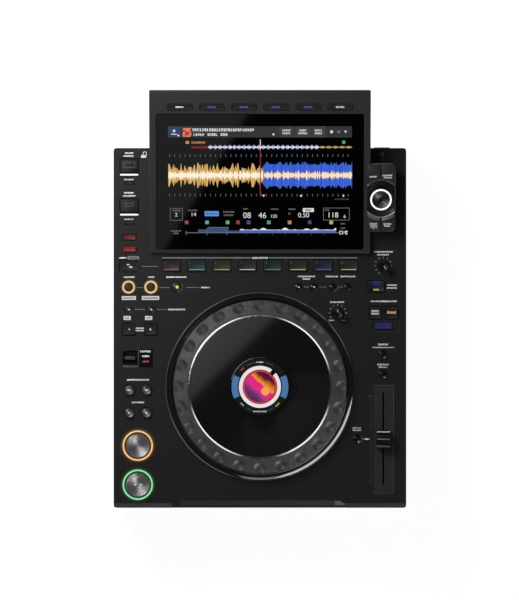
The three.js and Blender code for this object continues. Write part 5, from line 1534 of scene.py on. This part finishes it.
# Two wedges, and on the track search keys a bar where they point
searchMark = {"reach": 1.15, "low": 2.85, "high": 3.04, "shifts": (-0.8, 0.8), "bar": (0.5, 1.9),
              "keys": [("track_search_back_key", 90, -1.9), ("track_search_forward_key", -90, 1.9),
                       ("search_back_key", 90, None), ("search_forward_key", -90, None)]}
searchLow, searchHigh = searchMark["low"], searchMark["high"]
for node, turn, barAt in searchMark["keys"]:
    marks = [prismPiece("mark", 3, searchMark["reach"], searchLow, searchHigh, (shift, 0), turn)
             for shift in searchMark["shifts"]]
    if barAt:
        marks.append(slabPiece("mark", *searchMark["bar"], searchLow, searchHigh, 0, 1, (barAt, 0)))
    setPiece(joinPieces(partName(node, "_mark"), marks), onDeck(node), node, labelInk)

displayRow = {"cells": (-4.6, 4.6, 0, 1.7), "rise": 0.64, "pale": (0, 5)}
for index, node in enumerate(displayKeys):
    ink = labelInk if index in displayRow["pale"] else markInk["blue"]
    printRows(node + "_print", [displayRow["cells"]], onDisplayKey(node), node, ink, displayRow["rise"])
# On the pod: left, right, along, height, from the pod's middle
podRows = [("back_key", [(-12.4, -4.8, 24.6, 1.7)]),
           ("tag_key", [(1.8, 12.4, 26.0, 1.8), (3.0, 12.0, 23.4, 1.6)]),
           ("shortcut_key_1", [(-12.4, -4.0, -29.0, 1.8), (-12.0, -3.6, -31.4, 1.5)]),
           ("shortcut_key_2", [(3.2, 11.8, -29.2, 1.8), (4.2, 10.2, -31.6, 1.5)])]
for node, rows in podRows:
    printRows(partName(node, "_print"), rows, podPlane, node, labelInk, pod["keyTop"] - 0.02)
podArrow = {"low": 2.3, "high": 2.44, "bar": (8.4, 0.5), "barAt": (-8.0, -33.6), "wedge": 0.9,
            "wedgeAt": (-8.0, -34.4)}
low, high = podArrow["low"], podArrow["high"]
marks = [slabPiece("mark", *podArrow["bar"], low, high, 0, 1, podArrow["barAt"]),
         prismPiece("mark", 3, podArrow["wedge"], low, high, podArrow["wedgeAt"], 180)]
setPiece(joinPieces("shortcut_mark", marks), podPlane, "shortcut_key_1", "whiteInk")
deckRows("leverPrint", [(-134.6, -122.6, 176.0, 2.2), (-132.4, -124.4, 170.6, 1.8)], labelInk, 0.07)
deckRows("leverRedPrint", [(-131.6, -125.0, 164.6, 1.9)], markInk["red"], 0.07)
# In the jog's window: short rows at the top and bottom, and small turned marks between
windowMark = {"rows": [(-3.8, 3.8, 27.6, 1.5), (-7.5, 7.5, -27.6, 1.5)], "reach": 28, "tall": 1.6,
              "marks": [(135, (0.62, 0.03, 0.03), 4.6), (-45, (0.85, 0.48, 0.04), 5.6),
                        (-135, (0.55, 0.55, 0.56), 4.6)]}
printRows("windowPrint", windowMark["rows"], jogPlane, "case", labelInk, jog["plateTop"])
for index, (turn, colour, width) in enumerate(windowMark["marks"]):
    # Each mark is turned so that it can be read from below
    upright = -90 if turn > 0 else 90
    spot = jogPlane @ Matrix.Rotation(math.radians(turn), 4, "Z") @ moved(windowMark["reach"], 0)
    spot = spot @ Matrix.Rotation(math.radians(upright), 4, "Z")
    printRows("windowMark%d" % (index + 1), [(-width / 2, width / 2, 0, windowMark["tall"])], spot, "case",
              litPlastic("windowMarkFinish%d" % (index + 1), colour), jog["plateTop"])
print("print made")

# The picture on the display: thin lit shapes on the glass, placed by the photograph's pixels
screenInk = {"bar": (0.015, 0.015, 0.016), "box": (0.034, 0.034, 0.036), "tile": (0.013, 0.040, 0.115),
             "blue": (0.025, 0.070, 0.20), "white": (0.80, 0.80, 0.80), "grey": (0.16, 0.16, 0.17),
             "dim": (0.045, 0.045, 0.048), "orange": (0.72, 0.27, 0.08), "red": (0.30, 0.015, 0.025),
             "green": (0.10, 0.42, 0.12), "pill": (0.10, 0.33, 0.80), "black": (0.0, 0.0, 0.0)}
screenFinish = {name: litPlastic("screen" + name.title() + "Finish", colour, emptyScreen)
                for name, colour in screenInk.items()}
screenThick = 0.05


def screenBar(left, top, right, bottom):
    nearX, nearY = onScreen(left, bottom)
    farX, farY = onScreen(right, top)
    return nearX, farX, nearY, farY


def screenRow(left, right, middle, tall):
    nearX, along = onScreen(left, middle)
    return nearX, onScreen(right, middle)[0], along, tall * photo["scale"]


def screenRows(rows):
    for name, ink, rise, boxes in rows:
        printRows(name, [screenRow(*box) for box in boxes], slopePlane, "case", screenFinish[ink], rise)


def screenPiece(name, pieces, ink):
    setPiece(joinPieces(name, pieces), slopePlane, "case", screenFinish[ink])


def screenSlab(name, box, thick, corner, finish):
    low, high, near, far = screenBar(*box)
    piece = slabPiece(name, high - low, far - near, 0.0, thick, corner, 2,
                      ((low + high) / 2, (near + far) / 2))
    setPiece(piece, slopePlane, "case", finish)


# Short ticks above and below the main wave, and the red line across it
screenTick = {"left": 169.4, "pitch": 5.1, "count": 36, "rows": (155.6, 195.2), "wide": 0.5, "half": 1.3}
tickLefts = [screenTick["left"] + index * screenTick["pitch"] for index in range(screenTick["count"])]
baseTick = {"lefts": range(246, 330, 13), "wide": 0.6, "top": 233.4, "bottom": 235.2}
playhead = {"left": 259.88, "right": 260.72, "top": 139.6, "white": 149.5, "bottom": 196.0}
# Bars on the display: name, ink, height over the glass, corner, and boxes of left, top, right and bottom
screenBars = [
    ("screenTopBar", "bar", 0.02, 0.3, [(168, 126.3, 352, 137.5)]),
    ("screenBoxes", "box", 0.04, 0.0, [
        (279.2, 126.3, 293.8, 137.5), (295.0, 126.3, 311.0, 137.5), (312.2, 126.3, 325.4, 137.5)]),
    ("screenTile", "tile", 0.04, 0.0, [(168, 126.3, 180.4, 137.5)]),
    ("screenOrangeDot", "orange", 0.03, 0.4, [(185.6, 141.0, 189.0, 143.8)]),
    ("screenGreenDot", "green", 0.03, 0.5, [(342.2, 140.6, 345.2, 143.8)]),
    ("screenTileFoot", "white", 0.06, 0.0, [(171.2, 133.8, 176.8, 134.7), (177.4, 134.9, 179.4, 136.3)]),
    ("screenTicks", "grey", 0.02, 0.0,
     [(left, row - screenTick["half"], left + screenTick["wide"], row + screenTick["half"])
      for row in screenTick["rows"] for left in tickLefts]),
    ("screenOverviewPast", "blue", 0.03, 0.0, [
        (198, 229.4, 207, 233), (207.6, 228.0, 228.6, 233), (228.6, 230.6, 239.5, 233)]),
    ("screenBaseLine", "grey", 0.05, 0.0, [
        (186, 232.4, 340, 233.1), (185.8, 231.2, 186.6, 234.9), (206.6, 228.4, 207.3, 234.9),
        (207.6, 227.2, 228.6, 227.9), (226.4, 231.2, 227.1, 234.9)]),
    ("screenBaseTicks", "dim", 0.04, 0.0,
     [(left, baseTick["top"], left + baseTick["wide"], baseTick["bottom"])
      for left in baseTick["lefts"]]),
    ("screenPlayhead", "red", 0.08, 0.0, [(playhead["left"], playhead["white"], playhead["right"],
                                           playhead["bottom"])]),
    ("screenPlayheadTop", "white", 0.08, 0.0, [(playhead["left"], playhead["top"], playhead["right"],
                                                playhead["white"])]),
    ("screenPill", "pill", 0.03, 0.6, [(204.6, 211.2, 218.8, 216.2)]),
    ("screenWhiteBox", "white", 0.03, 0.3, [(302.8, 208.2, 313.8, 212.0)])]
for name, ink, rise, corner, boxes in screenBars:
    printBars(name, [screenBar(*box) for box in boxes], slopePlane, screenFinish[ink], rise - screenThick,
              rise,
              corner)

# Rows above the wave: name, ink, height over the glass, and left, right, middle and height of each row
screenRows([
    ("screenBoxRows", "white", 0.05, [
        (282.6, 290.4, 130.4, 1.9), (282.6, 290.4, 133.4, 1.9), (299.4, 306.0, 130.4, 1.9),
        (298.4, 307.0, 133.4, 1.9), (314.8, 321.8, 130.4, 1.9), (314.8, 321.8, 133.4, 1.9)]),
    ("screenTitle", "white", 0.05, [
        (192.5, 254.0, 129.9, 2.9), (193.4, 204.0, 134.6, 2.6), (207.6, 217.2, 134.6, 2.6),
        (220.6, 227.4, 134.6, 2.6)]),
    ("screenOrangeRow", "orange", 0.03, [(191.6, 205.0, 142.6, 2.2)]),
    ("screenRedRow", "red", 0.03, [(191.6, 207.0, 147.4, 2.2)])])

# Simple plain signs, discs, dots and wedges: pixel x, pixel y, reach in millimetres, sides
signHalf = 0.02
tileSigns = [("screenSigns", "white", [(174.0, 130.9, 1.5, 20), (331.6, 131.8, 1.7, 24),
                                       (345.6, 131.6, 1.8, 3),
                                       (273.4, 134.4, 1.2, 16), (301.0, 195.8, 1.1, 16),
                                       (343.4, 195.8, 1.3, 4),
                                       (263.6, 195.6, 1.7, 3)]),
             ("screenGreySigns", "grey", [(338.6, 131.8, 1.7, 24), (289.4, 213.6, 1.6, 3)])]
signRise = 0.06
for name, ink, spots in tileSigns:
    screenPiece(name, [prismPiece("sign", sides, reach, signRise - signHalf, signRise + signHalf,
                                  onScreen(pixelX, pixelY), 180) for pixelX, pixelY, reach, sides in spots],
                ink)


def coverFinish():
    # A small cover picture: two soft fields of colour
    finish = Finish("coverFinish", Roughness=0.2, Emission_Strength=1.0, Base_Color=(*emptyScreen, 1))
    cloud = finish.noise(finish.place(slopePlane), 260, 1)
    finish.fill(finish.shader, {"Emission Color": finish.mix(finish.limit(cloud * 5 - 2), (0.32, 0.012, 0.07),
                                                             (0.70, 0.26, 0.10))})
    return finish.material


screenSlab("screenCover", (182.4, 127.8, 191.2, 136.9), 0.05, 0.3, coverFinish())


def wavePiece(name, wave):
    # A strip of narrow columns whose ends are pulled out to the wave's reach
    startX, along = onScreen(wave["left"], wave["middle"])
    endX = onScreen(wave["right"], wave["middle"])[0]
    columns = wave["columns"]
    clearSelection()
    bpy.ops.mesh.primitive_grid_add(x_subdivisions=columns, y_subdivisions=2, size=1,
                                    location=(0, 0, 0.02 * mm))
    piece = bpy.context.object
    piece.name = name
    bpy.ops.object.transform_apply(location=True, rotation=True, scale=True)
    reaches = [wave["reachOf"](index / columns) * photo["scale"] for index in range(columns + 1)]
    for vertex in piece.data.vertices:
        index = round((vertex.co.x + 0.5) * columns)
        side = round(vertex.co.y * 2)
        if wave.get("flatFoot"):
            side = (side + 1) / 2
        vertex.co.x = (startX + (endX - startX) * index / columns) * mm
        vertex.co.y = (along + side * reaches[index]) * mm
    enterEdit("FACE")
    bpy.ops.mesh.select_all(action="SELECT")
    bpy.ops.mesh.extrude_region_move(TRANSFORM_OT_translate={"value": (0, 0, printLook["thick"] * mm)})
    leaveEdit()
    return piece


def waveFinish(wave):
    # Bright near the middle line, deeper outside it, in upright streaks
    finish = Finish(wave["finish"], Roughness=0.3, Emission_Strength=1.0, Base_Color=(*emptyScreen, 1))
    across, along, up = finish.parts(finish.place(slopePlane))
    streak = finish.noise(finish.node("CombineXYZ", 0, None, {0: across * wave["streaks"]}), 1.0, 2)
    off = finish.call("ABSOLUTE", along - onScreen(photo["middleX"], wave["middle"])[1] * mm)
    coreReach = wave["coreReach"] * mm
    if wave.get("flatFoot"):
        part = finish.limit((off - coreReach * (streak * 0.5 + 0.7)) * (1 / (0.35 * mm)))
    else:
        part = finish.limit(((streak * 3.4 - 1.05) * coreReach - off) * (1 / (0.9 * mm)))
    outside = finish.mix(finish.limit(streak * 3 - 1), wave["deep"], wave["shell"])
    finish.fill(finish.shader, {"Emission Color": finish.mix(part, outside, wave["core"])})
    return finish.material


def spiky(tall, base):
    def reachOf(part):
        return tall * (base + (1 - base) * chance.random() ** 2.2)
    return reachOf


def beads(count, tall):
    def reachOf(part):
        swell = 0.16 + 0.84 * abs(math.sin(part * count * math.pi)) ** 1.4
        return tall * swell * (0.75 + 0.25 * chance.random())
    return reachOf


def rolling(part):
    swell = max(0.0, math.sin(part * 17) * math.sin(part * 41 + 1))
    return 3.0 + 2.2 * swell + chance.random() * 0.5


# Left, right and middle are pixels, the reaches are pixels too, and the core's reach is millimetres
waves = {
    "screenWaveLeft": {"finish": "waveLeftFinish", "left": 168.3, "right": 263.0, "middle": 175.3,
                       "columns": 104, "reachOf": spiky(13.0, 0.36), "core": (1.0, 0.86, 0.66),
                       "shell": (0.80, 0.52, 0.17),
                       "deep": (0.42, 0.24, 0.06), "coreReach": 5.6, "streaks": 520},
    "screenWaveRight": {"finish": "waveRightFinish", "left": 263.6, "right": 352.0, "middle": 175.3,
                        "columns": 84, "reachOf": spiky(14.0, 0.72), "core": (0.98, 0.72, 0.46),
                        "shell": (0.035, 0.15, 0.80),
                        "deep": (0.015, 0.05, 0.42), "coreReach": 5.2, "streaks": 430},
    "screenSmallWave": {"finish": "smallWaveFinish", "left": 208, "right": 319, "middle": 147.2,
                        "columns": 280, "reachOf": beads(23, 2.5), "core": (0.90, 0.92, 1.0),
                        "shell": (0.42, 0.46, 0.72),
                        "deep": (0.14, 0.16, 0.36), "coreReach": 1.6, "streaks": 700},
    "screenWarmWave": {"finish": "warmWaveFinish", "left": 319, "right": 352, "middle": 147.2, "columns": 90,
                       "reachOf": beads(5, 1.5), "core": (0.80, 0.52, 0.22), "shell": (0.45, 0.24, 0.06),
                       "deep": (0.24, 0.12, 0.03), "coreReach": 1.0, "streaks": 1300},
    "screenOverview": {"finish": "overviewFinish", "left": 239.5, "right": 336.0, "middle": 233.0,
                       "columns": 190, "reachOf": rolling, "core": (0.82, 0.80, 0.70),
                       "shell": (0.04, 0.15, 0.62),
                       "deep": (0.03, 0.10, 0.45), "coreReach": 3.2, "streaks": 500, "flatFoot": True}}
for name, wave in waves.items():
    setPiece(wavePiece(name, wave), slopePlane, "case", waveFinish(wave))

# Digits, frames and small squares below the wave: words, pixel x, pixel y, height in millimetres
digits = [("2", 176.2, 214.9, 6.0), ("14", 193.4, 214.6, 6.4), ("08", 247.0, 215.6, 9.2),
          ("46", 262.4, 215.6, 9.2),
          ("120", 273.6, 216.4, 5.0), ("0.50", 303.6, 215.4, 7.4), ("118", 332.8, 215.3, 8.4),
          ("6", 344.6, 216.6, 5.2)]
made = []
for words, pixelX, pixelY, tall in digits:
    number = textPiece("digit", words, tall, 0.015)
    number.data.transform(moved(*onScreen(pixelX, pixelY), 0.02))
    made.append(number)
screenPiece("screenDigits", made, "white")
frames = []
for box in ((170.0, 208.2, 182.6, 220.6), (323.2, 207.8, 349.6, 220.4)):
    low, high, near, far = screenBar(*box)
    frames.append(framePiece("frame", high - low, far - near, 0.55, 0.0, 0.04, 0.4,
                             ((low + high) / 2, (near + far) / 2)))
screenPiece("screenFrames", frames, "grey")
screenRows([
    ("screenDimRow", "dim", 0.03, [(334.6, 349.0, 199.2, 1.3)]),
    ("screenBoxPrint", "black", 0.04, [(305.0, 311.4, 210.1, 1.7)]),
    ("screenPillPrint", "box", 0.04, [(206.4, 217.0, 213.7, 1.7)]),
    ("screenSmallRows", "grey", 0.03, [
        (172.2, 180.4, 210.6, 1.7), (188.0, 197.4, 210.4, 1.4), (223.2, 234.0, 212.0, 1.6),
        (223.8, 233.4, 215.2, 1.6), (243.2, 248.0, 208.9, 1.3), (271.0, 278.4, 209.2, 1.4),
        (288.4, 295.4, 209.2, 1.4), (324.6, 329.4, 210.2, 1.4), (171.0, 181.0, 231.0, 1.5),
        (173.6, 178.4, 233.4, 1.8), (340.6, 345.2, 223.8, 1.3), (340.6, 345.4, 228.2, 1.5)]),
    ("screenKeyRow", "white", 0.03, [(339.4, 347.4, 232.6, 3.6)])])
# Coloured squares in a row: pixel x and colour
square = {"half": 1.8, "top": 220.6, "bottom": 224.2, "thick": 0.04, "corner": 0.4,
          "spots": [(186.6, (0.33, 0.03, 0.06)), (207.0, (0.10, 0.36, 0.42)), (227.6, (0.16, 0.40, 0.14)),
                    (238.0, (0.28, 0.02, 0.04)), (248.6, (0.06, 0.05, 0.22)), (268.8, (0.10, 0.32, 0.16)),
                    (289.6, (0.50, 0.24, 0.10)), (309.6, (0.03, 0.03, 0.22)), (331.2, (0.42, 0.46, 0.16))]}
for index, (middle, colour) in enumerate(square["spots"]):
    box = (middle - square["half"], square["top"], middle + square["half"], square["bottom"])
    screenSlab("screenSquare%d" % (index + 1), box, square["thick"], square["corner"],
               litPlastic("squareFinish%d" % (index + 1), colour))
print("display picture made")

low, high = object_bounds()
